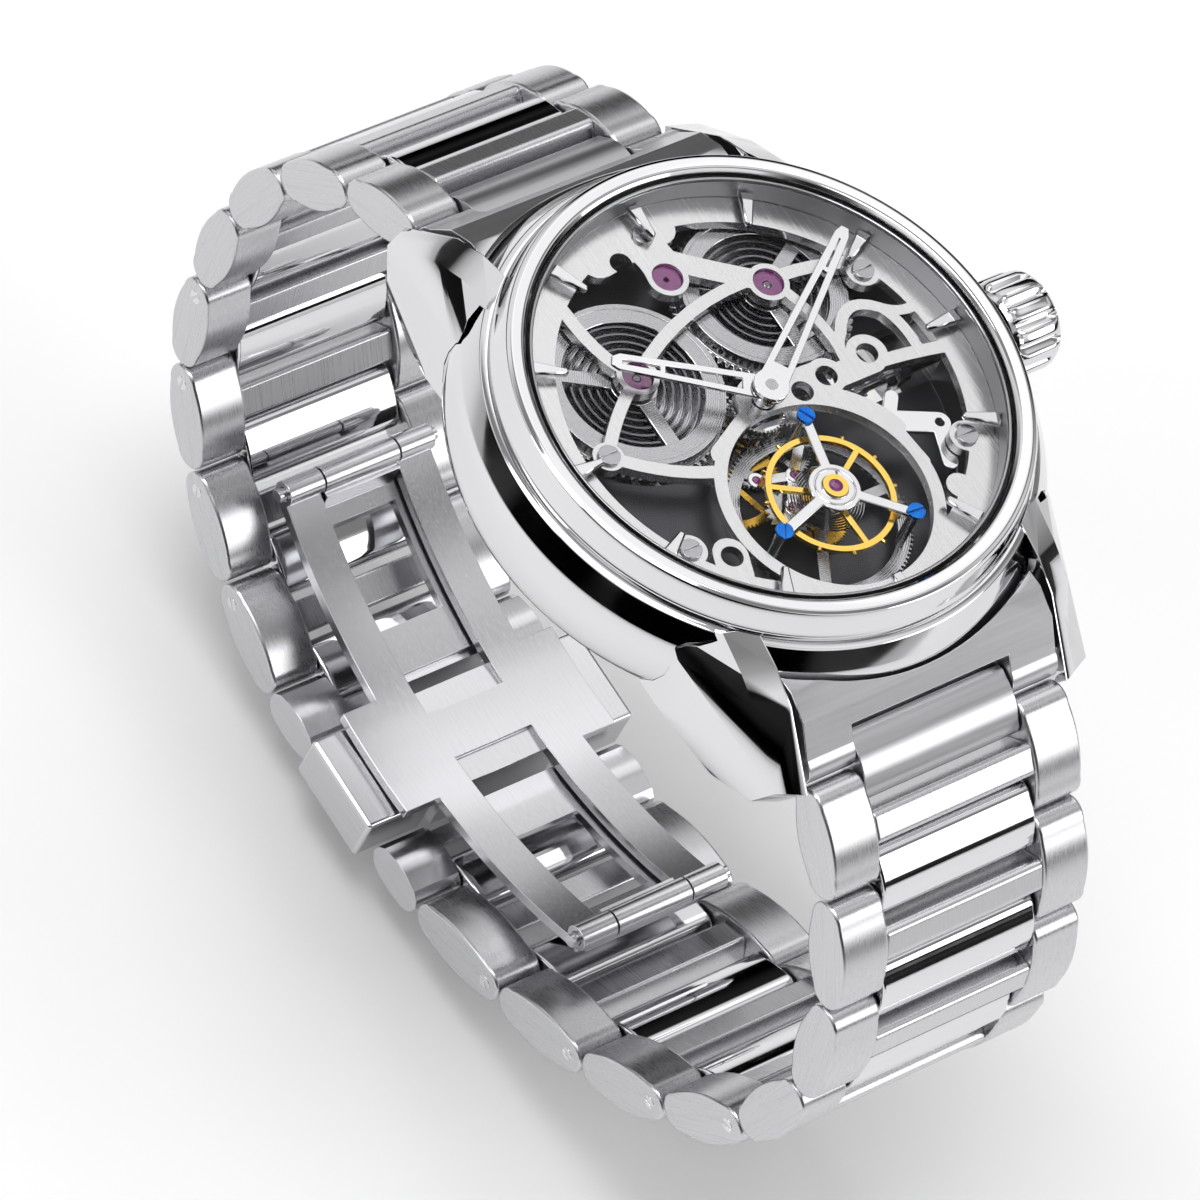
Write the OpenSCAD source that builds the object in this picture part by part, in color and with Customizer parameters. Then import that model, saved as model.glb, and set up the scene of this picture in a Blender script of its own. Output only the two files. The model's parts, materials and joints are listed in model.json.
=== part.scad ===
// Skeleton wristwatch: a steel case on a closed bracelet, with its whole movement.
// Millimetres. Origin at the centre of the case back, +Z through the dial, +Y to 12 o'clock,
// +X to the crown at 3 o'clock. Every movement height below is counted from the dial plane.

/* [Case] */
// Height of the dial plane above the case back
dial_z = 10; // [10:0.05:10.2]
// Radius of the case at its widest
case_r = 21.5; // [21.45:0.01:21.55]
// Radius of the bezel at its foot
bezel_r = 19.6; // [19.4:0.05:19.8]
// Radius of the opening in the bezel
dial_r = 17.6; // [17.58:0.01:17.62]
// Height of the bezel over the dial plane
bezel_h = 1.45; // [1.4:0.05:1.6]
// Radius of the crown over its ridges
crown_r = 3.7; // [3.5:0.05:3.8]

/* [Lugs and end links] */
// Half the width between the lug horns
lug_gap = 11.45; // [11.3:0.05:11.5]
// Thickness of a lug horn
lug_w = 2.3; // [2:0.1:2.6]

/* [Bracelet] */
// Half the width of the bracelet
link_x = 11; // [10.9:0.05:11.1]
// Half the width of the polished centre links
mid_x = 6.8; // [6.6:0.05:6.85]
// Distance from a link's pin to the joint between two links
pin_in = 1.6; // [1.55:0.01:1.62]
// Radius of the rounded ends of a link
end_r = 1.5; // [1.4:0.05:1.5]
// Half the thickness of a link at its middle
link_t = 1.95; // [1.8:0.05:2]
// Radius of a link pin
pin_r = 0.5; // [0.45:0.01:0.55]
// Running clearance round a pin
fit = 0.05; // [0.03:0.01:0.08]

/* [Hands] */
// Length of the minute hand
minute_l = 15.6; // [14:0.1:16]
// Length of the hour hand
hour_l = 11.3; // [9:0.1:12]
// Minutes past the hour shown at rest
minute_at = 9.2; // [0:0.1:60]

/* [Movement] */
// Tooth module of the barrels
barrel_m = 0.191; // [0.19:0.0005:0.1915]
// Thickness of the skeleton bridge
bridge_t = 0.8; // [0.6:0.05:0.85]
// Radius of the tourbillon opening
tourb_r = 7.4; // [7.3:0.05:7.5]

/* [Hidden] */

$fn = 64;
eps = 0.01;
steel = [0.78, 0.78, 0.8];
satin = [0.62, 0.62, 0.64];
gold = [0.83, 0.66, 0.26];
blue = [0.1, 0.3, 0.7];
ruby = [0.7, 0.1, 0.5];

// Heights of the movement's levels over the dial plane
bridge_z = -0.95;
plate_z = -5.1;
plate_t = 1.2;
ratchet_z = -6.75;
rear_z = -8.0;
crown_z = -5.3;
move_r = 17.55;

// Gear train: tooth counts, modules and axes
z_barrel_l = 74;
z_barrel_r = 70;
z_centre_pinion = 20;
z_ratchet = 68;
z_centre = 96;
z_pinion = 8;
z_third = 80;
z_fourth = 54;
z_cage = 108;
z_fixed = 54;
z_escape_pinion = 6;
z_escape = 20;
z_cannon = 12;
z_minute = 36;
z_minute_pinion = 10;
z_hour = 40;
train_m = 0.1;
cage_m = 0.125;
escape_m = 0.08;
hour_m = 0.096;
axis_o = [0, 0];
axis_tourb = [0, -8.4];
axis_bl = (z_barrel_l + z_centre_pinion) / 2 * barrel_m * [cos(144.3), sin(144.3)];
barrel_turn = 12;
axis_br = axis_bl + (z_barrel_l + z_barrel_r) / 2 * barrel_m * [cos(barrel_turn), sin(barrel_turn)];
ratchet_m = norm(axis_br - axis_bl) / z_ratchet;
fourth_at = 148.2;
axis_fourth = axis_tourb + (z_cage + z_fourth) / 2 * cage_m * [cos(fourth_at), sin(fourth_at)];
axis_third = meet(axis_o, (z_centre + z_pinion) / 2 * train_m,
    axis_fourth, (z_third + z_pinion) / 2 * train_m);
escape_at = 161;
axis_escape = axis_tourb
    + (z_fixed + z_escape_pinion) / 2 * escape_m * [cos(escape_at), sin(escape_at)];
axis_pallet = axis_tourb + [-0.7, 2.9];
minute_wheel_at = -5;
axis_minute = (z_cannon + z_minute) / 2 * train_m * [cos(minute_wheel_at), sin(minute_wheel_at)];
cage_arms = [76, 196, 316];

// Bracelet run on each side: first joint, first length, growth per link, angle of each link below
// the horizontal, as [along, height over the dial plane]
start = [24.5, -7.9];
lens_12 = [for (i = [0:7]) 8.2 + 0.1 * i];
lens_6 = [for (i = [0:7]) 8.6 + 0.2 * i];
turns_12 = [28.4, 47.4, 71.6, 88, 100, 125, 143, 157];
turns_6 = [46.4, 60, 80, 106, 131, 143, 156, 165];
end_turn = 25;
clasp_turn = 178;

// Clasp: middle of the inner frame along Y, its lowest height, its curve and half its span
clasp_y = 8.6;
clasp_z = -55.4;
clasp_r = 43.5;
clasp_half = 20.2;
clasp_t = 0.9;
rail_in = 3.5;
rail_out = 6.6;
wing_x = 9.6;
wing_y = 4.45;
window_y = 1.95;
knuckle_r = 1.0;
button_half = 4;
clasp_tilt = 2.5;
strip_end = 7.7;
// Opening in each outer blade, from the middle of the clasp
blade_window = [9.4, 17.6];

function step(l, a) = [l * cos(a), -l * sin(a)];
function run(p, ls, as, i = 0) =
    i == len(ls) ? [p] : concat([p], run(p + step(ls[i], as[i]), ls, as, i + 1));
joints_12 = run(start, lens_12, turns_12);
joints_6 = run(start, lens_6, turns_6);
spring_bar = start - step(pin_in, end_turn);

// Point at distance ra from a and rb from b, on the left of the line from a to b
function meet(a, ra, b, rb) =
    let (d = norm(b - a), u = (b - a) / d, x = (ra * ra - rb * rb + d * d) / (2 * d))
    a + x * u + sqrt(ra * ra - x * x) * [-u[1], u[0]];
function bearing(a, b) = atan2(b[1] - a[1], b[0] - a[0]);
// Turn of a gear of zb teeth that meshes with one of za teeth turned by ra, at bearing phi from it
function in_mesh(phi, ra, za, zb) = phi + 180 + ((phi - ra) * za / 360 - 0.5) * 360 / zb;

// Outline of a link's side: round ends at +-a, bulged to top and bottom between them
function leaf(a, r, top, bottom, n = 6) = concat(
    [for (k = [0:n]) let (t = 1 - 2 * k / n) [a * t, r + (top - r) * (1 - t * t)]],
    [for (k = [1:n - 1]) [-a - r * sin(180 * k / n), r * cos(180 * k / n)]],
    [for (k = [0:n]) let (t = 2 * k / n - 1) [a * t, -r - (bottom - r) * (1 - t * t)]],
    [for (k = [1:n - 1]) [a + r * sin(180 * k / n), -r * cos(180 * k / n)]]);

function tooth_ring(z, root, tip) = [for (k = [0:z - 1], s = [-0.3, -0.13, 0.13, 0.3])
    let (a = (k + s) * 360 / z, r = abs(s) > 0.2 ? root : tip) r * [cos(a), sin(a)]];

module at(p, z = 0) {
    translate([p[0], p[1], dial_z + z])
        children();
}
// Lays an outline drawn in (Y, Z) across X, from -w to w
module across(w) {
    translate([-w, 0, 0])
        rotate([90, 0, 90])
            linear_extrude(2 * w)
                children();
}
module along_x(r, w) {
    translate([-w, 0, 0])
        rotate([0, 90, 0])
            cylinder(r = r, h = 2 * w);
}
module gear(z, m, h, turn = 0) {
    rotate(turn)
        linear_extrude(h)
            polygon(tooth_ring(z, (z / 2 - 1.15) * m, (z / 2 + 0.85) * m));
}
module wheel(z, m, h, turn = 0, rim = 0.5, hub = 0.5, spokes = 5) {
    linear_extrude(h)
        difference() {
            rotate(turn)
                polygon(tooth_ring(z, (z / 2 - 1.15) * m, (z / 2 + 0.85) * m));
            difference() {
                circle((z / 2 - 1.15) * m - rim);
                circle(hub + 0.35);
                for (k = [0:spokes - 1])
                    rotate(turn + 360 * k / spokes)
                        translate([0, -rim * 0.45])
                            square([z * m, rim * 0.9]);
            }
        }
}
module ring(outer, inner, h) {
    difference() {
        cylinder(r = outer, h = h);
        translate([0, 0, -eps])
            cylinder(r = inner, h = h + 2 * eps);
    }
}
// Straight arm of width w from p to q, with round ends of n steps
module arm(p, q, w, n = 8) {
    a = bearing(p, q) - 90;
    polygon(concat(
        [for (k = [0:n]) let (t = a + 180 * k / n) q + w / 2 * [cos(t), sin(t)]],
        [for (k = [0:n]) let (t = a + 180 + 180 * k / n) p + w / 2 * [cos(t), sin(t)]]));
}
// ---- Case ----
// Outside of the case from its top edge to its bottom edge, grown outwards by g
function case_side(g) = [[19.7 + g, -1.1 + g], [20.5 + g, -1.5 + g], [case_r - 0.5 + g, -2.05],
    [case_r - 0.15 + g, -3.2], [case_r + g, -4.6], [case_r - 0.05 + g, -5.8],
    [case_r - 0.4 + g, -7.3], [case_r - 1 + g, -8.5], [19.8 + g, -8.9]];
module case_middle() {
    color(steel)
        difference() {
            union() {
                at(axis_o)
                    rotate_extrude($fn = 128)
                        polygon(concat(case_side(0), [[18.65, -8.9], [18.65, -8.6], [18.15, -8.6],
                            [18.15, -8.9], [17.6, -8.9], [17.6, -1.1]]));
                at([21.2, 0], crown_z)
                    rotate([0, 90, 0])
                        cylinder(r = 1.6, h = 1.5);
            }
            at([15, 0], crown_z)
                rotate([0, 90, 0])
                    cylinder(r = 0.7, h = 12);
        }
}
module horn() {
    outer = [[14.6, -1.1], [17.5, -2.1], [19.8, -3.3], [24.4, -7.2], [23, -10.2], [19.2, -12.3],
        [15.5, -10.4], [13.6, -6]];
    inner = [[15.4, -0.8], [18.3, -1.6], [20.8, -2.9], [25.3, -7.5], [23.6, -10.8], [19.2, -12.6],
        [15.2, -10.8], [13.6, -6]];
    shoulder = [[10.2, -1.7], [12.4, -2.1], [14.2, -3.4], [15.3, -6.6], [14.6, -8.8], [10.2, -8.6]];
    difference() {
        hull() {
            translate([lug_gap + lug_w + 2.6, 0, 0])
                rotate([90, 0, 90])
                    linear_extrude(0.1)
                        polygon(shoulder);
            translate([lug_gap + lug_w - 0.1, 0, 0])
                rotate([90, 0, 90])
                    linear_extrude(0.1)
                        polygon(outer);
            translate([lug_gap, 0, 0])
                rotate([90, 0, 90])
                    linear_extrude(0.1)
                        polygon(inner);
        }
        rotate_extrude($fn = 128)
            polygon(concat([[0, 2], [bezel_r + 0.05, 2], [bezel_r + 0.05, -1.05]], case_side(0.03),
                [[19.8, -14], [0, -14]]));
        translate([lug_gap - 1, spring_bar[0], spring_bar[1]])
            rotate([0, 90, 0])
                cylinder(r = pin_r, h = 2.2);
    }
}
module lug_horns() {
    color(steel)
        at(axis_o)
            for (sx = [0, 1], sy = [0, 1])
                mirror([sx, 0, 0])
                    mirror([0, sy, 0])
                        horn();
}
module bezel() {
    color(steel)
        at(axis_o)
            rotate_extrude($fn = 128)
                polygon([[dial_r, -1.05], [bezel_r, -1.05], [bezel_r, -0.7], [19.25, 0.9],
                    [19.0, bezel_h - 0.05], [18.7, bezel_h], [dial_r + 0.25, bezel_h],
                    [dial_r, bezel_h - 0.15]]);
}
module crystal() {
    color([0.8, 0.9, 0.95, 0.3])
        at(axis_o)
            rotate_extrude($fn = 128)
                polygon([[0, 1.2], [17.3, 1.2], [17.3, 0.45], [17.55, 0.45], [17.55, bezel_h],
                    [12, bezel_h + 0.35], [6, bezel_h + 0.52], [0, bezel_h + 0.57]]);
}
module seals() {
    color([0.1, 0.1, 0.1]) {
        at(axis_o, 0.1)
            ring(17.55, 17.32, 0.3);
        at(axis_o, -8.88)
            ring(18.6, 18.2, 0.26);
        at([22.4, 0], crown_z)
            rotate([0, 90, 0])
                ring(0.68, 0.53, 0.25);
    }
}
module rehaut_ring() {
    color(satin)
        at(axis_o)
            rotate_extrude($fn = 128)
                polygon([[17.28, 1.1], [17.28, -0.9], [17.02, -0.9], [17.02, 0.9], [17.12, 1.1]]);
}
module hour_indices() {
    color(steel)
        for (k = [0:11])
            at(axis_o, -0.5)
                rotate(90 - 30 * k)
                    linear_extrude(0.5)
                        if (k == 6)
                            polygon([[17, 0.5], [15.9, 0.42], [15.9, -0.42], [17, -0.5]]);
                        else
                            polygon([[17, 0.6], [14.2, 0.25], [14.2, -0.25], [17, -0.6]]);
}
module case_back() {
    color(satin)
        at(axis_o, -dial_z)
            rotate_extrude($fn = 128)
                polygon([[14.55, 0], [18.4, 0], [19.3, 0.55], [19.5, 1.08], [17.57, 1.08],
                    [17.57, 1.8], [17.1, 1.8], [17.1, 0.9], [14.55, 0.9]]);
}
module back_crystal() {
    color([0.8, 0.9, 0.95, 0.3])
        at(axis_o, -dial_z)
            cylinder(r = 14.5, h = 1, $fn = 128);
}

// ---- Bracelet ----
module mid_link(p, q) {
    translate([0, (p[0] + q[0]) / 2, (p[1] + q[1]) / 2])
        rotate([bearing(p, q), 0, 0])
            difference() {
                across(mid_x)
                    polygon(leaf(norm(q - p) / 2, 1.05, 1.4, 1.2));
                for (s = [-1, 1])
                    translate([0, s * norm(q - p) / 2, 0])
                        along_x(pin_r + fit, mid_x + 1);
            }
}
// Brushed outer link: two sides, a bar between them and both pins, from joint p to joint q
module outer_link(p, q) {
    a = norm(q - p) / 2 - pin_in;
    translate([0, (p[0] + q[0]) / 2, (p[1] + q[1]) / 2])
        rotate([bearing(p, q), 0, 0]) {
            for (s = [-1, 1])
                translate([s * (link_x + mid_x + 0.15) / 2, 0, 0])
                    across((link_x - mid_x - 0.15) / 2)
                        polygon(leaf(a, end_r, link_t, link_t));
            across(mid_x + 0.2)
                polygon([[1.25, -1.3], [1.25, 1.45], [0.95, 1.8], [-0.95, 1.8], [-1.25, 1.45],
                    [-1.25, -1.3]]);
            for (s = [-1, 1])
                translate([0, s * a, 0])
                    along_x(pin_r, link_x - 0.3);
        }
}
module link(joints, turns, i) {
    p = joints[i];
    q = joints[i + 1];
    next_turn = i == 7 ? clasp_turn : turns[i + 1];
    color(satin)
        outer_link(p, q);
    color(steel)
        mid_link(q - step(pin_in, turns[i]), q + step(pin_in, next_turn));
}
module end_link(first_turn) {
    pin = spring_bar;
    color(satin)
        difference() {
            union() {
                across(link_x)
                    polygon([[15, -9.3], [21.6, -9.3], pin + 1.5 * [-sin(end_turn), -cos(end_turn)],
                        pin + 1.5 * [sin(end_turn), cos(end_turn)], [22, -3.7], [20, -2.7],
                        [15, -2.7]]);
                translate([0, pin[0], pin[1]])
                    along_x(end_r, link_x);
            }
            translate([0, 0, -12])
                cylinder(r = case_r + 0.1, h = 14, $fn = 128);
            translate([0, pin[0], pin[1]])
                rotate([-end_turn, 0, 0])
                    translate([-mid_x - 0.15, -1.15, -4])
                        cube([2 * mid_x + 0.3, 8, 8]);
        }
    color(steel)
        mid_link(pin, start + step(pin_in, first_turn));
    color(steel)
        translate([0, pin[0], pin[1]])
            along_x(pin_r - fit, lug_gap + 0.9);
}
module end_links() {
    translate([0, 0, dial_z]) {
        end_link(turns_12[0]);
        mirror([0, 1, 0])
            end_link(turns_6[0]);
    }
}
module link_12(i) {
    translate([0, 0, dial_z])
        link(joints_12, turns_12, i);
}
module link_6(i) {
    translate([0, 0, dial_z])
        mirror([0, 1, 0])
            link(joints_6, turns_6, i);
}

// ---- Clasp ----
// Curved strip of the clasp between two angles from its middle, w0 to w1 across, r0 to r1 deep
module strip(r0, r1, a0, a1, w0, w1) {
    translate([w0, clasp_y, dial_z + clasp_z + clasp_r])
        rotate([0, 90, 0])
            rotate(a0)
                rotate_extrude(angle = a1 - a0, $fn = 256)
                    translate([r0, 0])
                        square([r1 - r0, w1 - w0]);
}
clasp_pin_turn = asin(clasp_half / (clasp_r - clasp_t));
clasp_pin_z = clasp_z + clasp_r - (clasp_r - clasp_t) * cos(clasp_pin_turn) + 0.2;
// Leans the clasp about its lowest line, so that its 6 o'clock end is the lower one
module lean() {
    translate([0, clasp_y, dial_z + clasp_z])
        rotate([clasp_tilt, 0, 0])
            translate([0, -clasp_y, -dial_z - clasp_z])
                children();
}
module at_pin(s) {
    translate([0, clasp_y + s * clasp_half, dial_z + clasp_pin_z])
        children();
}
module clasp_frame() {
    color(steel)
        lean()
            difference() {
                union() {
                    difference() {
                        strip(clasp_r - clasp_t, clasp_r, -clasp_pin_turn, clasp_pin_turn,
                            -wing_x, wing_x);
                        for (t = [-1, 1])
                            translate([-rail_in, clasp_y + t * (window_y + 15) - 15, dial_z + clasp_z - 1])
                                cube([2 * rail_in, 30, 12]);
                        for (t = [-1, 1], u = [-1, 1])
                            translate([u * (rail_out + 5) - 5, clasp_y + t * (wing_y + 15) - 15,
                                dial_z + clasp_z - 1])
                                cube([10, 30, 12]);
                    }
                    for (s = [-1, 1], t = [-1, 1])
                        at_pin(s)
                            translate([t * (rail_in + rail_out) / 2, 0, 0])
                                along_x(knuckle_r, (rail_out - rail_in) / 2);
                    translate([-5.2, clasp_y - 4, dial_z + clasp_z - 4.6])
                        cube([10.4, 8, 5.1]);
                }
                for (s = [-1, 1])
                    at_pin(s)
                        along_x(pin_r + fit, link_x);
            }
}
// Outer blade: runs under the frame from its hinge to the short link that ends the bracelet.
// end is the pin of the short link, as [along Y, height over the dial plane]
module blade(s, end, pinned) {
    bar_y = end[0] - s * 2.35;
    color(steel)
        lean() {
            difference() {
                union() {
                    strip(clasp_r + 0.3, clasp_r + 1.1, s > 0 ? strip_end : 0.6 - clasp_pin_turn,
                        s > 0 ? clasp_pin_turn - 0.6 : -strip_end, -5.2, 5.2);
                    at_pin(s)
                        along_x(knuckle_r, rail_in - 0.15);
                    at_pin(s)
                        translate([-rail_in + 0.15, -s * 0.7 - 0.7, -2.4])
                            cube([2 * rail_in - 0.3, 1.4, 2]);
                }
                for (t = [-1, 1])
                    at_pin(s)
                        translate([t * 4.35, 0, 0])
                            along_x(knuckle_r + 0.25, 0.87);
                translate([-2.9, clasp_y + s * blade_window[0] - (s > 0 ? 0 : blade_window[1] - blade_window[0]),
                    dial_z + clasp_z - 2])
                    cube([5.8, blade_window[1] - blade_window[0], 12]);
            }
            at_pin(s)
                along_x(pin_r, rail_out + 0.6);
        }
    color(satin)
        translate([0, 0, dial_z]) {
            for (t = [-1, 1])
                translate([t * (link_x + mid_x + 0.15) / 2, end[0], end[1]])
                    across((link_x - mid_x - 0.15) / 2)
                        polygon([for (p = leaf(1.25, end_r, 1.7, 1.6)) [p[0] - s * 1.25, p[1]]]);
            translate([0, bar_y, end[1]])
                across(mid_x + 0.2)
                    square([1.4, 2.9], center = true);
            translate([-4.8, bar_y - 0.7, end[1] + 1])
                cube([9.6, 1.4, clasp_z - 0.1 - end[1] - 1]);
        }
    if (pinned)
        color(steel)
            translate([0, end[0], dial_z + end[1]])
                along_x(pin_r, link_x - 0.3);
}
module clasp_blade_12() {
    blade(1, joints_12[8] + step(pin_in, clasp_turn), true);
}
module clasp_blade_6() {
    end = joints_6[8] + step(pin_in, clasp_turn);
    blade(-1, [-end[0], end[1]], false);
}
module push_button(t) {
    color(steel)
        lean()
            translate([t > 0 ? 6.2 : -12.2, clasp_y - button_half, dial_z + clasp_z - 4.4])
                cube([6, 2 * button_half, 4.2]);
}

// ---- Crown ----
module crown() {
    color(steel)
        at([21.7, 0], crown_z)
            rotate([0, 90, 0])
                difference() {
                    union() {
                        cylinder(r = crown_r - 0.35, h = 4.2);
                        for (k = [0:11])
                            rotate(30 * k)
                                translate([crown_r - 0.55, 0, 0.5])
                                    cylinder(r = 0.55, h = 3.2, $fn = 24);
                    }
                    translate([0, 0, -eps])
                        cylinder(r = 1.7, h = 2.6);
                    translate([0, 0, 2])
                        cylinder(r = 0.5, h = 1.6);
                }
}
module winding_stem() {
    color(steel)
        at([8.6, 0], crown_z)
            rotate([0, 90, 0]) {
                cylinder(r = 0.5, h = 16.6);
                translate([0, 0, 0.6])
                    gear(12, 0.12, 1.2);
                translate([0, 0, 3.4])
                    ring(0.9, 0.5, 0.8);
                translate([0, 0, 4.8])
                    ring(0.9, 0.5, 0.8);
            }
}
module setting_lever() {
    color(steel)
        at([13.1, 0], crown_z)
            difference() {
                translate([-0.25, -1, -0.6])
                    cube([0.45, 4, 1.2]);
                rotate([0, 90, 0])
                    translate([0, 0, -1])
                        cylinder(r = 0.56, h = 2);
            }
}

// ---- Movement: fixed pieces ----
module main_plate() {
    color(satin)
        difference() {
            union() {
                at(axis_o, plate_z - plate_t)
                    cylinder(r = move_r, h = plate_t, $fn = 128);
                at(axis_o, plate_z - eps)
                    ring(move_r, 15.4, bridge_z - bridge_t - plate_z);
            }
            at(axis_bl, plate_z)
                cylinder(r = 7.6, h = 4);
            at(axis_br, plate_z)
                cylinder(r = 7.3, h = 4);
            at(axis_tourb, plate_z)
                cylinder(r = 7.3, h = 4);
            for (p = [axis_bl, axis_br])
                at(p, plate_z - plate_t - 1)
                    cylinder(r = 0.87, h = plate_t + 2);
            for (p = [axis_o, axis_third, axis_fourth, axis_tourb])
                at(p, plate_z - 0.4)
                    cylinder(r = 0.75, h = 1);
            at([8.3, -1.6], crown_z - 1.05)
                cube([10, 4.9, 3.9]);
        }
}
bridge_posts = [[-12.1, -8.2], [12.1, -8.3], [-0.2, 14.9], [13.2, 6.2], [-13.1, 0.5]];
jewel_top = [-0.5, 11.3];
// Points on a bow from p to q that is pulled towards m
function bow(p, m, q, n = 7) =
    [for (k = [0:n]) let (t = k / n) (1 - t) * (1 - t) * p + 2 * t * (1 - t) * m + t * t * q];
module sweep(p, m, q, w) {
    b = bow(p, m, q);
    for (k = [0:len(b) - 2])
        arm(b[k], b[k + 1], w);
}
module skeleton_bridge() {
    color(satin)
        at(axis_o, bridge_z - bridge_t)
            linear_extrude(bridge_t)
                difference() {
                    union() {
                        difference() {
                            circle(move_r - 0.08, $fn = 128);
                            circle(14.9, $fn = 128);
                        }
                        difference() {
                            translate(axis_tourb)
                                circle(tourb_r + 0.95);
                            translate(axis_tourb)
                                circle(tourb_r);
                        }
                        arm(axis_o, [-5.4, -2.6], 1.7);
                        sweep([-6.6, -3.6], [-10.2, -2.4], bridge_posts[4], 1);
                        sweep(bridge_posts[4], [-10.6, 3.4], axis_bl, 0.9);
                        sweep([-9.2, 11.9], [-9.2, 7.2], axis_bl, 1);
                        sweep(axis_bl, [-1.6, 8.9], [4.4, 8.8], 0.95);
                        arm([-4.6, 14.3], [1.2, 15], 2.6);
                        sweep([-0.6, 13.9], [-0.2, 12.6], jewel_top, 3.1);
                        sweep([0.5, 12.4], [2.6, 10.6], axis_br, 1.7);
                        sweep(axis_br, [8.4, 8.6], [13.6, 7], 1);
                        sweep([6.8, 7.2], [8.2, 3.6], [7.6, 0.4], 0.8);
                        arm(axis_o, [5.2, -0.2], 2.9);
                        arm([4.8, -0.4], [9.4, -0.4], 1.9);
                        sweep([9.4, -0.6], [12.2, -0.8], [15.3, -1.5], 1);
                        sweep([8.6, 2.5], [10.4, 5.2], [12.6, 3.1], 0.85);
                        sweep([12.6, 3.1], [13.5, 1.6], [13.2, -0.9], 0.85);
                        sweep([12.6, 3.1], [14, 1.9], [15.3, 2.4], 0.8);
                        sweep([7.6, 0.4], [7.6, 1.8], [8.6, 2.5], 0.85);
                        sweep([5, -1.6], [7.2, -3.2], [7.9, -5.6], 1.2);
                        arm([12.7, -7.9], [15.2, -6.5], 1.4);
                        arm([9.2, -11.5], [9.6, -12], 2);
                        arm([-9.6, -9.6], [-10.2, -11.2], 2.6);
                        for (p = [axis_bl, axis_br, jewel_top])
                            translate(p)
                                circle(1.55);
                        translate(bridge_posts[4])
                            circle(1.15, $fn = 32);
                        for (k = [0, 1, 3])
                            translate(bridge_posts[k])
                                circle(1.25, $fn = 32);
                        translate([5.5, -0.1])
                            circle(1.45, $fn = 32);
                        translate([9.4, 0.3])
                            circle(1.55, $fn = 32);
                        circle(2);
                    }
                    circle(0.88);
                    for (p = [axis_bl, axis_br, jewel_top])
                        translate(p)
                            circle(1.15);
                    for (p = [[3.1, -0.5], [5.5, -0.1], [9.4, 0.3], [-3, 13.6], [-9.6, -9.8]])
                        translate(p)
                            circle(0.82, $fn = 32);
                    for (p = bridge_posts)
                        translate(p)
                            circle(0.45, $fn = 32);
                    translate(axis_tourb)
                        circle(tourb_r);
                }
    color(steel)
        at(axis_minute, -2.9)
            cylinder(r = 0.15, h = 1.2, $fn = 24);
}
module rear_bridge() {
    color(satin)
        at(axis_o, rear_z)
            linear_extrude(1)
                difference() {
                    union() {
                        difference() {
                            circle(move_r, $fn = 128);
                            circle(14.2, $fn = 128);
                        }
                        for (p = [axis_bl, axis_br, axis_tourb])
                            arm(axis_o, p, 3);
                        for (p = [axis_bl, axis_br, axis_tourb])
                            arm(p, 15 * p / norm(p), 3);
                    }
                    for (p = [axis_bl, axis_br, axis_tourb])
                        translate(p)
                            circle(0.5);
                }
}
module movement_screws() {
    color(steel)
        for (p = bridge_posts)
            at(p, bridge_z - bridge_t - 0.7) {
                cylinder(r = 0.4, h = 1.5, $fn = 24);
                translate([0, 0, 0.71 + bridge_t])
                    difference() {
                        cylinder(r = 0.8, h = 0.25, $fn = 32);
                        translate([-1, -0.08, 0.12])
                            cube([2, 0.16, 0.2]);
                    }
            }
}
module jewels() {
    color(ruby) {
        for (p = [axis_bl, axis_br])
            at(p, bridge_z - bridge_t + 0.1)
                ring(1.13, 0.3, 0.4);
        at(jewel_top, bridge_z - bridge_t + 0.1)
            ring(1.13, 0.2, 0.4);
        for (p = [axis_third, axis_fourth, axis_tourb])
            at(p, plate_z - 0.38)
                ring(0.73, 0.2, 0.36);
        at(axis_o, plate_z - 0.38)
            ring(0.73, 0.36, 0.36);
    }
}
module keyless_cover() {
    color(steel)
        at(axis_o, bridge_z - bridge_t - 0.5)
            linear_extrude(0.4)
                difference() {
                    union() {
                        arm([8.2, -4.6], [11.6, -6.2], 1.7);
                        arm([11.6, -6.2], [10.4, -9.2], 1.2);
                        arm([8.2, -4.6], [8.6, -8.4], 1);
                        arm([8.2, -4.6], [9.6, -3], 1);
                    }
                    translate([8.2, -4.6])
                        circle(0.35);
                    translate([11.6, -6.2])
                        circle(0.35);
                }
}
module fixed_wheel() {
    color(gold) {
        at(axis_tourb, -4.25)
            difference() {
                gear(z_fixed, escape_m, 0.2);
                translate([0, 0, -1])
                    cylinder(r = 0.8, h = 3);
            }
        at(axis_tourb, plate_z)
            ring(1.5, 0.8, -4.25 - plate_z + 0.05);
    }
}

// ---- Movement: moving pieces ----
module drum(z, turn) {
    tip = z / 2 * barrel_m;
    difference() {
        union() {
            gear(z, barrel_m, 0.45, turn);
            translate([0, 0, 0.45])
                cylinder(r = tip - 0.42, h = 1.05);
        }
        translate([0, 0, 0.25])
            cylinder(r = tip - 0.8, h = 2);
        translate([0, 0, -1])
            cylinder(r = 0.86, h = 3);
    }
}
module barrel_left() {
    color(satin)
        at(axis_bl, -3.45)
            drum(z_barrel_l, bearing(axis_bl, axis_o));
}
module barrel_right() {
    color(satin)
        at(axis_br, -3.45)
            drum(z_barrel_r, in_mesh(bearing(axis_bl, axis_br), bearing(axis_bl, axis_o),
                z_barrel_l, z_barrel_r));
}
module mainspring(z) {
    for (k = [0:2])
        translate([0, 0, 0.3])
            ring(z / 2 * barrel_m - 0.9 - 0.35 * k, z / 2 * barrel_m - 1.1 - 0.35 * k, 1);
    for (k = [0:2])
        translate([0, 0, 0.3])
            ring(1.9 + 0.35 * k, 1.7 + 0.35 * k, 1);
}
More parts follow.
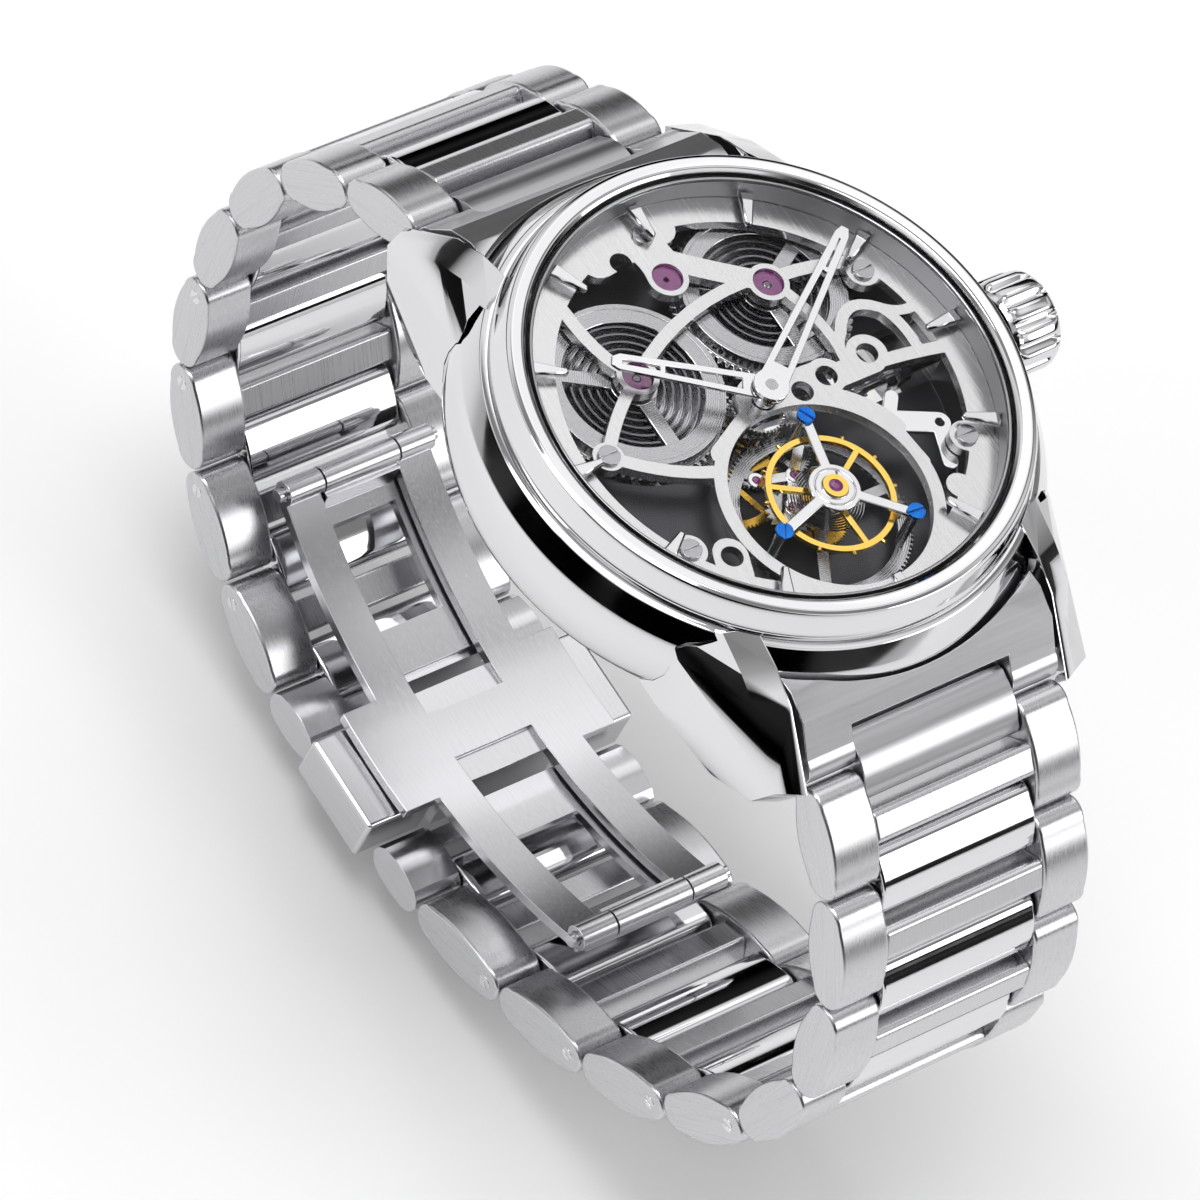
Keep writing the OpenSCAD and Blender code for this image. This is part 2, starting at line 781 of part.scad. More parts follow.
module mainspring_left() {
    color(steel)
        at(axis_bl, -3.45)
            mainspring(z_barrel_l);
}
module mainspring_right() {
    color(steel)
        at(axis_br, -3.45)
            mainspring(z_barrel_r);
}
module ratchet(turn) {
    difference() {
        gear(z_ratchet, ratchet_m, 0.35, turn);
        for (k = [0:5])
            rotate(60 * k)
                translate([3.7, 0, -1])
                    cylinder(r = 1.2, h = 2, $fn = 32);
    }
    cylinder(r = 0.8, h = -1.9 - ratchet_z);
    translate([0, 0, -0.35])
        cylinder(r = 0.45, h = 0.4);
    translate([0, 0, -1.9 - ratchet_z - 0.05])
        cylinder(r = 0.25, h = 0.7, $fn = 24);
    translate([0, 0, -3 - ratchet_z])
        cylinder(r = 1.6, h = 0.9);
}
module ratchet_left() {
    color(steel)
        at(axis_bl, ratchet_z)
            ratchet(bearing(axis_bl, axis_br));
}
module ratchet_right() {
    color(steel)
        at(axis_br, ratchet_z)
            ratchet(bearing(axis_br, axis_bl) + 180 / z_ratchet);
}
module centre_wheel() {
    color(gold)
        at(axis_o) {
            translate([0, 0, -4.8])
                wheel(z_centre, train_m, 0.2, 0);
            translate([0, 0, -3.5])
                gear(z_centre_pinion, barrel_m, 0.55,
                    in_mesh(bearing(axis_bl, axis_o), bearing(axis_bl, axis_o),
                        z_barrel_l, z_centre_pinion));
            translate([0, 0, -2.7])
                gear(z_cannon, train_m, 0.3);
            translate([0, 0, -5.42])
                cylinder(r = 0.3, h = 0.7, $fn = 24);
            translate([0, 0, -4.85])
                cylinder(r = 0.46, h = 5.83);
        }
}
// Tapered hand, drawn along +X: half widths h0 at the axis and h1 near the tip, with a long opening
// between its rails, a crossbar, and a narrow opening behind the tip
module hand(l, hub, h0, h1, slot_from, slot_to) {
    rail = 0.5;
    fall = (h0 - h1) / (l * 0.95);
    difference() {
        union() {
            circle(hub);
            polygon([[-0.2, h0], [l * 0.95, h1], [l, h1 * 0.5], [l, -h1 * 0.5], [l * 0.95, -h1],
                [-0.2, -h0]]);
        }
        polygon([[slot_from, h0 - fall * slot_from - rail], [slot_to, h0 - fall * slot_to - rail],
            [slot_to, rail - h0 + fall * slot_to], [slot_from, rail - h0 + fall * slot_from]]);
        polygon([[slot_to + 0.4, h1 - rail + 0.02], [l * 0.93, h1 - rail], [l * 0.93, rail - h1],
            [slot_to + 0.4, rail - h1 - 0.02]]);
    }
}
module minute_hand() {
    color(steel)
        at(axis_o, 0.66)
            rotate(90 - 6 * minute_at)
                linear_extrude(0.32)
                    difference() {
                        hand(minute_l, 1.3, 1.08, 0.56, 1.95, minute_l * 0.72);
                        circle(0.44);
                    }
}
module hour_hand() {
    color(steel) {
        at(axis_o, 0.3)
            rotate(90 - 30 * 10 - minute_at / 2)
                linear_extrude(0.26)
                    difference() {
                        hand(hour_l, 1.25, 1.02, 0.68, 1.95, hour_l * 0.66);
                        circle(0.55);
                    }
        at(axis_o, -2.25)
            ring(0.8, 0.55, 2.6);
        at(axis_o, -2.25)
            difference() {
                gear(z_hour, hour_m, 0.15);
                translate([0, 0, -1])
                    cylinder(r = 0.55, h = 3);
            }
    }
}
module minute_wheel() {
    color(gold)
        at(axis_minute) {
            difference() {
                union() {
                    translate([0, 0, -2.6])
                        gear(z_minute, train_m, 0.15,
                            in_mesh(minute_wheel_at, 0, z_cannon, z_minute));
                    translate([0, 0, -2.46])
                        gear(z_minute_pinion, hour_m, 0.4,
                            in_mesh(minute_wheel_at, 0, z_hour, z_minute_pinion));
                }
                translate([0, 0, -3])
                    cylinder(r = 0.2, h = 2);
            }
        }
}
third_turn = in_mesh(bearing(axis_o, axis_third), 0, z_centre, z_pinion);
module third_wheel() {
    color(gold)
        at(axis_third) {
            translate([0, 0, -4.85])
                gear(z_pinion, train_m, 0.55, third_turn);
            translate([0, 0, -4.3])
                wheel(z_third, train_m, 0.2, 0);
            translate([0, 0, -5.4])
                cylinder(r = 0.15, h = 1.6, $fn = 24);
        }
}
module fourth_wheel() {
    color(gold)
        at(axis_fourth) {
            translate([0, 0, -3.9])
                wheel(z_fourth, cage_m, 0.25,
                    in_mesh(fourth_at, 0, z_cage, z_fourth));
            translate([0, 0, -4.4])
                gear(z_pinion, train_m, 0.52,
                    in_mesh(bearing(axis_third, axis_fourth), 0, z_third, z_pinion));
            translate([0, 0, -5.4])
                cylinder(r = 0.15, h = 1.7, $fn = 24);
        }
}

// ---- Tourbillon ----
module cage_bridge() {
    color(steel)
        at(axis_tourb, -0.35) {
            linear_extrude(0.3)
                difference() {
                    union() {
                        circle(1.9);
                        for (a = cage_arms)
                            arm([0, 0], 5.85 * [cos(a), sin(a)], 0.75);
                    }
                    circle(0.5);
                }
        }
    color(gold)
        at(axis_tourb, -0.05)
            ring(0.95, 0.5, 0.15);
    color(ruby)
        at(axis_tourb, -0.35)
            ring(0.48, 0.12, 0.45);
}
module cage_base() {
    color(satin) {
        at(axis_tourb, -3.9)
            difference() {
                wheel(z_cage, cage_m, 0.25, 0, 0.9, 0.8, 3);
                translate(axis_escape - axis_tourb)
                    translate([0, 0, -1])
                        cylinder(r = 0.42, h = 3);
            }
        for (a = cage_arms)
            at(axis_tourb + 5.85 * [cos(a), sin(a)], -3.66)
                cylinder(r = 0.38, h = 3.3, $fn = 24);
        at(axis_tourb, -5.42)
            cylinder(r = 0.18, h = 1.6, $fn = 24);
    }
}
module cage_screws() {
    color(blue)
        for (a = cage_arms)
            at(axis_tourb + 5.85 * [cos(a), sin(a)], -0.04)
                difference() {
                    cylinder(r = 0.65, h = 0.25, $fn = 32);
                    rotate(a + 40)
                        translate([-1, -0.09, 0.12])
                            cube([2, 0.18, 0.3]);
                }
}
module balance_wheel() {
    color(gold)
        at(axis_tourb) {
            translate([0, 0, -1.15])
                linear_extrude(0.35)
                    difference() {
                        union() {
                            difference() {
                                circle(4.75, $fn = 96);
                                circle(4.3, $fn = 96);
                            }
                            for (a = [30, 150, 270])
                                arm([0, 0], 4.5 * [cos(a), sin(a)], 0.42);
                            circle(0.6);
                        }
                        circle(0.2, $fn = 24);
                    }
            translate([0, 0, -2.9])
                cylinder(r = 0.1, h = 2.9, $fn = 24);
            translate([0, 0, -2.1])
                cylinder(r = 0.5, h = 0.2, $fn = 32);
        }
}
module hairspring() {
    color(steel)
        for (k = [0:4])
            at(axis_tourb, -1.7)
                ring(1.1 + 0.3 * k, 1.02 + 0.3 * k, 0.2);
}
module escape_wheel() {
    color(steel)
        at(axis_escape) {
            translate([0, 0, -3.1])
                linear_extrude(0.15)
                    polygon([for (k = [0:z_escape - 1], s = [0, 1])
                        let (a = 18 * (k + 0.45 * s), r = s > 0 ? 1.85 : 1.45) r * [cos(a), sin(a)]]);
            translate([0, 0, -4.3])
                gear(z_escape_pinion, escape_m, 0.35,
                    in_mesh(escape_at, 0, z_fixed, z_escape_pinion));
            translate([0, 0, -4.25])
                cylinder(r = 0.12, h = 1.5, $fn = 24);
        }
}
module pallet_fork() {
    to_balance = bearing(axis_pallet, axis_tourb);
    to_escape = bearing(axis_pallet, axis_escape);
    color(steel)
        at(axis_pallet, -2.6)
            linear_extrude(0.12)
                union() {
                    arm([0, 0], 2.1 * [cos(to_balance), sin(to_balance)], 0.2);
                    arm([0, 0], 1.3 * [cos(to_escape + 40), sin(to_escape + 40)], 0.2);
                    arm([0, 0], 1.3 * [cos(to_escape - 40), sin(to_escape - 40)], 0.2);
                    circle(0.25, $fn = 24);
                }
}

case_middle();
lug_horns();
bezel();
crystal();
seals();
rehaut_ring();
hour_indices();
case_back();
back_crystal();
end_links();
main_plate();
skeleton_bridge();
rear_bridge();
movement_screws();
jewels();
keyless_cover();
fixed_wheel();
setting_lever();
crown();
winding_stem();
barrel_left();
barrel_right();
mainspring_left();
mainspring_right();
ratchet_left();
ratchet_right();
centre_wheel();
minute_hand();
hour_hand();
minute_wheel();
third_wheel();
fourth_wheel();
cage_bridge();
cage_base();
cage_screws();
balance_wheel();
hairspring();
escape_wheel();
pallet_fork();
link_12(0);  // link_12_1
link_12(1);  // link_12_2
link_12(2);  // link_12_3
link_12(3);  // link_12_4
link_12(4);  // link_12_5
link_12(5);  // link_12_6
link_12(6);  // link_12_7
link_12(7);  // link_12_8
link_6(0);  // link_6_1
link_6(1);  // link_6_2
link_6(2);  // link_6_3
link_6(3);  // link_6_4
link_6(4);  // link_6_5
link_6(5);  // link_6_6
link_6(6);  // link_6_7
link_6(7);  // link_6_8
clasp_blade_12();
clasp_frame();
clasp_blade_6();
push_button(1);  // push_button_3
push_button(-1);  // push_button_9
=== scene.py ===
# %% [markdown]
# # A steel skeleton wristwatch
# A wristwatch is a round case that holds a movement, with a bracelet of links closed by a clasp.
# The engineering model gives every piece its place and its size. This lesson gives each piece the
# surface that a watchmaker would: brushed flats, polished bevels, gilt wheels and blued screws.
# The model is loaded first, and its box is kept so that nothing grows past it.

# %% Load the watch
import json
import math

import bmesh
import bpy
from mathutils import Matrix, Vector

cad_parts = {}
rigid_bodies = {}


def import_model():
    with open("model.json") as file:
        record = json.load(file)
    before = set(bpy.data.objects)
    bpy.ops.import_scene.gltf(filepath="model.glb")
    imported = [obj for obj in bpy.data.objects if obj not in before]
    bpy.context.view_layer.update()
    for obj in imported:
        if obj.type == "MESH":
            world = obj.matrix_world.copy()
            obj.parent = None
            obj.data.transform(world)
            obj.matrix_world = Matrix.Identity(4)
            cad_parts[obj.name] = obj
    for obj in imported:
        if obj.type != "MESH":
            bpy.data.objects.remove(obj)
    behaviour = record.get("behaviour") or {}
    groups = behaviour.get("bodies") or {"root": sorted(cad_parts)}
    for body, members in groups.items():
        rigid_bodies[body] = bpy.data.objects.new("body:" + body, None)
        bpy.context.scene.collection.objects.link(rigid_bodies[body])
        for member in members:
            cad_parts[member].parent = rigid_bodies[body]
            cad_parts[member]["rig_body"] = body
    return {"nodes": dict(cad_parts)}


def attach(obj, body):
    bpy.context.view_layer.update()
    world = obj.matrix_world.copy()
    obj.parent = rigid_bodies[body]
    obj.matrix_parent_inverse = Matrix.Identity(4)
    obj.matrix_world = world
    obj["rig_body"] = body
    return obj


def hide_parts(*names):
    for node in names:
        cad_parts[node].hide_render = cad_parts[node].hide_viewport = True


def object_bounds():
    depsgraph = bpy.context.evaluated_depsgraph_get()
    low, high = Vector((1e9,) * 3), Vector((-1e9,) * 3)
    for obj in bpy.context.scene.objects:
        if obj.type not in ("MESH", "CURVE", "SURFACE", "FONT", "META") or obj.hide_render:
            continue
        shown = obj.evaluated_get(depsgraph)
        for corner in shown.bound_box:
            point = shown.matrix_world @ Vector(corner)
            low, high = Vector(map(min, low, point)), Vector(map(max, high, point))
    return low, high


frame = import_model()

cad_low, cad_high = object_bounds()
print("watch measures", [round(1000 * v, 1) for v in cad_high - cad_low], "mm")

# %% [markdown]
# ## Units
# All shapes are drawn in millimetres and made in metres, so one factor turns the first into the
# second. Heights of the case and movement are counted from the dial plane, which lies 10 mm above
# the case back. The crown and its stem lie 5.3 mm below that plane.

# %% Units and levels
MM = 0.001
DIAL = 10.0
STEM_LEVEL = -5.3


def metres(*point):
    return Vector(point) * MM


dial_plane = Matrix.Translation(metres(0, 0, DIAL))
print("dial plane at", DIAL, "mm, stem at", DIAL + STEM_LEVEL, "mm")

# %% [markdown]
# ## Camera
# A watch is best looked at from far away with a long lens, so that the case stays round and the far
# side of the bracelet doesn't shrink. The camera stands 65 cm off, above the 8 o'clock side, and is
# rolled so that the watch leans to the left. It could be aimed by a constraint, but three axes
# written down hold the roll too.

# %% Long lens camera
LENS, SENSOR = 282.26, 36
CAMERA_PLACE = (-346.56, -218.72, 506.94)
CAMERA_AXES = (
    (0.78870214, -0.54321317, 0.28786868),
    (-0.3328802, -0.77101298, -0.54289019),
    (0.51685559, 0.33235287, -0.7889245),
)
camera_data = bpy.data.cameras.new("long_lens")
camera_data.sensor_width = SENSOR
camera_data.lens = LENS
camera_data.clip_start, camera_data.clip_end = 0.01, 10
camera = bpy.data.objects.new("camera", camera_data)
bpy.context.scene.collection.objects.link(camera)
right, down, ahead = (Vector(a) for a in CAMERA_AXES)
camera.matrix_world = Matrix.Translation(metres(*CAMERA_PLACE)) @ Matrix(
    (right, -down, -ahead)
).transposed().to_4x4()
bpy.context.scene.camera = camera
print("camera at", [round(v, 3) for v in camera.matrix_world.translation])

# %% [markdown]
# ## Materials
# Colours are written as they look on a screen, in hex, and Blender wants them linear, so one
# function turns them. A second function adds a shader node with its settings and its links. Every
# material below is built from these two, so that each of them reads as a short list.

# %% Colour and node helpers
def linear(colour):
    """'#rrggbb' as shown on a screen, to the linear colour that shaders use."""
    parts = [int(colour[i:i + 2], 16) / 255 for i in (1, 3, 5)]
    return [v / 12.92 if v <= 0.04045 else ((v + 0.055) / 1.055) ** 2.4 for v in parts] + [1.0]


def add_node(tree, kind, values=None, links=None, **settings):
    """A node with its settings, the values of its inputs, and the sockets that feed them."""
    made = tree.nodes.new(kind)
    for name, value in settings.items():
        setattr(made, name, value)
    for name, value in (values or {}).items():
        made.inputs[name].default_value = value
    for name, source in (links or {}).items():
        tree.links.new(source, made.inputs[name])
    return made


def new_material(name, **values):
    """A material with one Principled shader, and its node tree and shader."""
    made = bpy.data.materials.new(name)
    made.use_nodes = True
    shader = made.node_tree.nodes["Principled BSDF"]
    for key, value in values.items():
        socket = "IOR" if key == "ior" else key.replace("_", " ").title()
        shader.inputs[socket].default_value = value
    return made, made.node_tree, shader


print("white is", [round(v, 3) for v in linear("#ffffff")])

# %% [markdown]
# ## Brushed metal
# A brushed face is a polished one that was drawn over a belt: thousands of fine parallel
# scratches, along which light runs in streaks. They could be an anisotropic gloss, but that shows
# no grain from near. So they are drawn with a noise texture that is squeezed across the brushing
# and stretched along it, and it drives the gloss, the tint and a shallow bump. Real scratches are
# about 0.02 mm apart, too fine to show, so they are drawn at a tenth of a millimetre.

# %% Brushed metal
def brushed_metal(name, colour, roughness, across=0.1, along=6.0, axis="Y", depth=0.004):
    """Metal with straight grain along one axis of the piece, its sizes in millimetres."""
    made, tree, shader = new_material(name, metallic=1.0)
    place = add_node(tree, "ShaderNodeTexCoord")
    stretch = [1 / (across * MM)] * 3
    stretch["XYZ".index(axis)] = 1 / (along * MM)
    grain_space = add_node(tree, "ShaderNodeMapping", {"Scale": stretch},
                           {"Vector": place.outputs["Object"]})
    grain = add_node(tree, "ShaderNodeTexNoise", {"Scale": 1.0, "Detail": 3.0, "Roughness": 0.6},
                     {"Vector": grain_space.outputs["Vector"]})
    dull = add_node(tree, "ShaderNodeMapRange",
                    {"To Min": roughness - 0.06, "To Max": roughness + 0.07},
                    {"Value": grain.outputs["Fac"]})
    tint = add_node(tree, "ShaderNodeValToRGB", links={"Fac": grain.outputs["Fac"]})
    base = linear(colour)
    dark_grain, bright_grain = tint.color_ramp.elements
    dark_grain.position, bright_grain.position = 0.3, 0.7
    dark_grain.color = [0.93 * v for v in base[:3]] + [1]
    bright_grain.color = [min(1.0, 1.05 * v) for v in base[:3]] + [1]
    bump = add_node(tree, "ShaderNodeBump", {"Strength": 0.5, "Distance": depth * MM},
                    {"Height": grain.outputs["Fac"]})
    tree.links.new(tint.outputs["Color"], shader.inputs["Base Color"])
    tree.links.new(dull.outputs["Result"], shader.inputs["Roughness"])
    tree.links.new(bump.outputs["Normal"], shader.inputs["Normal"])
    return made


print("brushing is drawn 0.1 mm apart")

# %% [markdown]
# ## Polished and turned metal
# A polished face has no grain, only a breath of unevenness in its gloss, which is a soft noise. A
# turned face has fine rings round its axis. A wave texture draws rings by itself, and a noise
# breaks them up. Real rings are some 0.05 mm apart, and they are drawn two or three times as
# coarse to show.

# %% Polished and turned metal
WAVE_PERIOD = math.tau / 20     # a wave texture of scale 1 repeats after this length


def polished_metal(name, colour, roughness, patch=2.5):
    """Mirror metal whose gloss varies a little, in patches of the given size in millimetres."""
    made, tree, shader = new_material(name, metallic=1.0, base_color=linear(colour))
    place = add_node(tree, "ShaderNodeTexCoord")
    haze = add_node(tree, "ShaderNodeTexNoise", {"Scale": 1 / (patch * MM), "Detail": 4.0},
                    {"Vector": place.outputs["Object"]})
    dull = add_node(tree, "ShaderNodeMapRange",
                    {"To Min": roughness - 0.03, "To Max": roughness + 0.04},
                    {"Value": haze.outputs["Fac"]})
    tree.links.new(dull.outputs["Result"], shader.inputs["Roughness"])
    return made


def turned_metal(name, colour, roughness, pitch=0.16, depth=0.006):
    """Metal with rings round the piece's own Z axis, as a lathe or a snailing wheel leaves them."""
    made, tree, shader = new_material(name, metallic=1.0, base_color=linear(colour))
    place = add_node(tree, "ShaderNodeTexCoord")
    rings = add_node(tree, "ShaderNodeTexWave",
                     {"Scale": WAVE_PERIOD / (pitch * MM), "Distortion": 0.0},
                     {"Vector": place.outputs["Object"]},
                     wave_type="RINGS", rings_direction="Z", wave_profile="SIN")
    speck = add_node(tree, "ShaderNodeTexNoise", {"Scale": 1 / (0.3 * MM), "Detail": 2.0},
                     {"Vector": place.outputs["Object"]})
    mixed = add_node(tree, "ShaderNodeMath", operation="MULTIPLY",
                     links={0: rings.outputs["Fac"], 1: speck.outputs["Fac"]})
    dull = add_node(tree, "ShaderNodeMapRange",
                    {"To Min": roughness - 0.06, "To Max": roughness + 0.14},
                    {"Value": mixed.outputs["Value"]})
    bump = add_node(tree, "ShaderNodeBump", {"Strength": 0.6, "Distance": depth * MM},
                    {"Height": rings.outputs["Fac"]})
    tree.links.new(dull.outputs["Result"], shader.inputs["Roughness"])
    tree.links.new(bump.outputs["Normal"], shader.inputs["Normal"])
    return made


print("rings repeat every", round(WAVE_PERIOD, 4), "at scale 1")

# %% [markdown]
# ## The metals of this watch
# The case and bracelet are 316L stainless steel, a slightly cool grey that is polished to a mirror
# or drawn over a belt. All its finishes are made by the three functions above, and differ only in
# colour, gloss and grain.

# %% Case and bracelet metals
# A mirror: sharp dark and bright shapes of the room.
polished_steel = polished_metal("polished_316L_steel", "#dcdcde", 0.06)
# Belt grain along the bracelet: soft streaks, and no clear reflection.
brushed_steel = brushed_metal("belt_brushed_316L_steel", "#cacacd", 0.28, across=0.12, along=9)
# The same grain, drawn across the bracelet, so that it takes the light the other way.
cross_steel = brushed_metal("cross_brushed_316L_steel", "#c4c4c7", 0.30, axis="X", along=9,
                            depth=0.003)
# Rolled sheet, finer than belt grain: a quiet silky gleam.
clasp_steel = brushed_metal("stamped_steel", "#cfcfd2", 0.24, across=0.12, along=9, depth=0.003)
# Fine rings on a dull face: a broad grey fan of light.
satin_grey = turned_metal("satin_rehaut_steel", "#a6a6a9", 0.36, pitch=0.12)
print(len(bpy.data.materials), "materials so far")

# %% [markdown]
# The movement's plates are brass under rhodium, whiter and finer than the case. Some gears and the
# balance are gilt brass. Springs and small levers are hardened steel. Their patterns are smaller
# than the case's, because the parts are.

# %% Movement metals
# Whiter than steel, with straight paper grain: pale flats that stay calm.
rhodium = brushed_metal("straight_grained_rhodium", "#dcdcdd", 0.25, across=0.09, along=5)
# A burnished bevel: one bright line round each part.
rhodium_bright = polished_metal("polished_rhodium_bevel", "#e8e8ea", 0.07)
# Rings round the arbor: a bow-tie of light that turns with the wheel.
rhodium_rings = turned_metal("circular_grained_rhodium", "#b5b5b8", 0.24)
# Hardened and polished small parts: greyer and deeper than the case.
hard_steel = polished_metal("hardened_steel", "#adadb1", 0.14, patch=0.8)
# Rolled ribbon, dark grey with a thin sheen.
spring_steel = turned_metal("spring_steel", "#77777c", 0.22, pitch=0.1)
# A thin layer of gold on brass: warm yellow with clear highlights.
gilt_brass = polished_metal("gilt_brass", "#fbd26a", 0.12, patch=0.6)
# The same gilding over turned rings: deeper and softer.
gilt_rings = turned_metal("circular_grained_gilt_brass", "#dfb24a", 0.24, pitch=0.1)
# A short grain on a nearly black grey, painted shade under the bridges, so that the parts above
# stand out.
painted_shade_plate = brushed_metal("painted_shade_grey_plate", "#505054", 0.34, across=0.09, along=3)
print(len(bpy.data.materials), "materials so far")

# %% [markdown]
# ## Blued steel and ruby
# Heated steel grows an oxide skin that turns blue: a metal whose colour shifts between royal and
# azure. Synthetic ruby is a clear magenta stone with a high polish. Clear glass shading would take
# many light paths in such small stones, so ruby is a dense body under a glossy coat, and its cloudy
# colour stands for its depth. Both patterns are about half a millimetre in size.

# %% Blued steel and ruby
def two_toned(tree, shader, dark, bright, size):
    """A base colour that drifts between two tones over so many millimetres."""
    place = add_node(tree, "ShaderNodeTexCoord")
    cloud = add_node(tree, "ShaderNodeTexNoise", {"Scale": 1 / (size * MM)},
                     {"Vector": place.outputs["Object"]})
    hue = add_node(tree, "ShaderNodeValToRGB", links={"Fac": cloud.outputs["Fac"]})
    hue.color_ramp.elements[0].color = linear(dark)
    hue.color_ramp.elements[1].color = linear(bright)
    tree.links.new(hue.outputs["Color"], shader.inputs["Base Color"])


blued_steel, tree, shader = new_material("heat_blued_steel", metallic=1.0, roughness=0.16)
two_toned(tree, shader, "#0d4fb8", "#2f8de6", 0.6)
ruby, tree, shader = new_material("synthetic_ruby", roughness=0.05, ior=1.76, coat_weight=0.6)
two_toned(tree, shader, "#4f0a4c", "#8f1f80", 0.5)
print(len(bpy.data.materials), "materials so far")

# %% [markdown]
# ## Sapphire and rubber
# Sapphire crystal is all but invisible. Refraction would blur the movement and slow the render, so
# its pane is nearly transparent and keeps only a faint reflection. The seals are black moulded
# rubber, dull with a fine speckle from the mould.

# %% Sapphire and rubber
sapphire = new_material("sapphire_crystal", roughness=0.0, ior=1.76, alpha=0.05,
                        base_color=linear("#050607"))[0]
seal_rubber, tree, shader = new_material("black_seal_rubber", base_color=linear("#141414"))
place = add_node(tree, "ShaderNodeTexCoord")
speck = add_node(tree, "ShaderNodeTexNoise", {"Scale": 1 / (0.15 * MM), "Detail": 4.0},
                 {"Vector": place.outputs["Object"]})
dull = add_node(tree, "ShaderNodeMapRange", {"To Min": 0.55, "To Max": 0.8},
                {"Value": speck.outputs["Fac"]})
tree.links.new(dull.outputs["Result"], shader.inputs["Roughness"])
print(len(bpy.data.materials), "materials")

# %% [markdown]
# ## Making pieces
# Watch parts are cut with sharp corners, and then each corner is bevelled and polished. The bevel
# catches the light and draws a bright line round every part, and without it metal looks like card.
# So each piece is made with sharp edges, and a Bevel modifier cuts them and gives the cut its own
# polished material. Weighted normals keep the flats flat.

# %% Finish a mesh as a piece
def finish_piece(name, mesh, body, slot, materials, bevel=0.0, steps=2, sharp=30, nodes=(),
                 at=None):
    """Links the mesh as a piece of a body, bevelled by so many mm with its last material."""
    for material in materials:
        mesh.materials.append(material)
    mesh.polygons.foreach_set("use_smooth", [True] * len(mesh.polygons))
    mesh.set_sharp_from_angle(angle=math.radians(sharp))
    piece = bpy.data.objects.new(name, mesh)
    bpy.context.scene.collection.objects.link(piece)
    if at is not None:
        piece.matrix_world = at
    if bevel:
        cut = piece.modifiers.new("bevel", "BEVEL")
        cut.width, cut.segments = bevel * MM, steps
        cut.limit_method, cut.angle_limit = "ANGLE", math.radians(sharp)
        cut.material = len(materials) - 1
        piece.modifiers.new("flat_faces", "WEIGHTED_NORMAL").keep_sharp = True
    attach(piece, body)
    if nodes:
        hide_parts(*nodes)
    return piece


print("pieces are bevelled with their last material")

# %% [markdown]
# A piece that is drawn here starts as a shell: a list of points and a list of faces. It becomes a
# mesh, in which points that fall on each other are joined, and every face is turned outwards.

# %% Draw a piece
WELD = 0.00005


def shell_mesh(name, verts, faces):
    """A mesh from points in millimetres, with its faces turned outwards."""
    mesh = bpy.data.meshes.new(name)
    mesh.from_pydata([[v * MM for v in p] for p in verts], [], faces)
    builder = bmesh.new()
    builder.from_mesh(mesh)
    bmesh.ops.remove_doubles(builder, verts=builder.verts, dist=WELD * MM)
    bmesh.ops.dissolve_degenerate(builder, edges=builder.edges, dist=WELD * MM)
    bmesh.ops.recalc_face_normals(builder, faces=builder.faces)
    builder.to_mesh(mesh)
    builder.free()
    return mesh


def drawn(name, shell, body, slot, materials, **finish):
    """A piece from a shell, finished as finish_piece says."""
    return finish_piece(name, shell_mesh(name, *shell), body, slot, materials, **finish)


print("points closer than", WELD, "mm are joined")

# %% [markdown]
# Watch parts are mostly turned on a lathe or cut out of sheet. So there is one function that turns
# a profile round an axis, and one that pushes an outline along an axis. Two more join shells and
# move them. They are plain lists of points, which is easier to check than a row of modifiers.

# %% Turned and cut shapes
def extruded(outline, low, high, axis="Z"):
    """Points and faces of an outline pushed from low to high along an axis, all in millimetres."""
    count = len(outline)
    turn = {"Z": lambda a, b, h: (a, b, h), "X": lambda a, b, h: (h, a, b)}[axis]
    verts = [turn(a, b, h) for h in (low, high) for a, b in outline]
    sides = [(k, (k + 1) % count, count + (k + 1) % count, count + k) for k in range(count)]
    return verts, sides + [tuple(range(count))[::-1], tuple(range(count, 2 * count))]


def lathed(profile, steps=192, axis="Z"):
    """Points and faces of a closed profile, in (radius, height), turned round an axis."""
    count, verts, faces = len(profile), [], []
    for k in range(steps):
        c, s = math.cos(math.tau * k / steps), math.sin(math.tau * k / steps)
        for r, h in profile:
            verts.append((r * c, r * s, h) if axis == "Z" else (h, r * c, r * s))
        for j in range(count):
            a, b = k * count + j, k * count + (j + 1) % count
            next_b, next_a = (b + count) % (steps * count), (a + count) % (steps * count)
            faces.append((a, b, next_b, next_a))
    return verts, faces


def joined(*shells):
    """Several (points, faces) as one."""
    verts, faces = [], []
    for more_verts, more_faces in shells:
        base = len(verts)
        verts += list(more_verts)
        faces += [tuple(base + i for i in f) for f in more_faces]
    return verts, faces


def moved(shell, x=0.0, y=0.0, z=0.0, turn=0.0):
    """Points and faces turned round Z by an angle and then shifted."""
    c, s = math.cos(turn), math.sin(turn)
    return [(x + c * a - s * b, y + s * a + c * b, z + h) for a, b, h in shell[0]], shell[1]


print("a ring of a square profile has", len(lathed([(1, 0), (2, 0), (2, 1), (1, 1)])[1]), "faces")

# %% [markdown]
# Many pieces already have their right shape in the engineering model, where they are made of small
# triangles. They are carried over: the triangles are welded and merged into whole faces again, and
# the copy takes a bevel like any other piece. A turned finish needs its rings round the piece's own
# axis, so a copy can be given an origin on that axis.

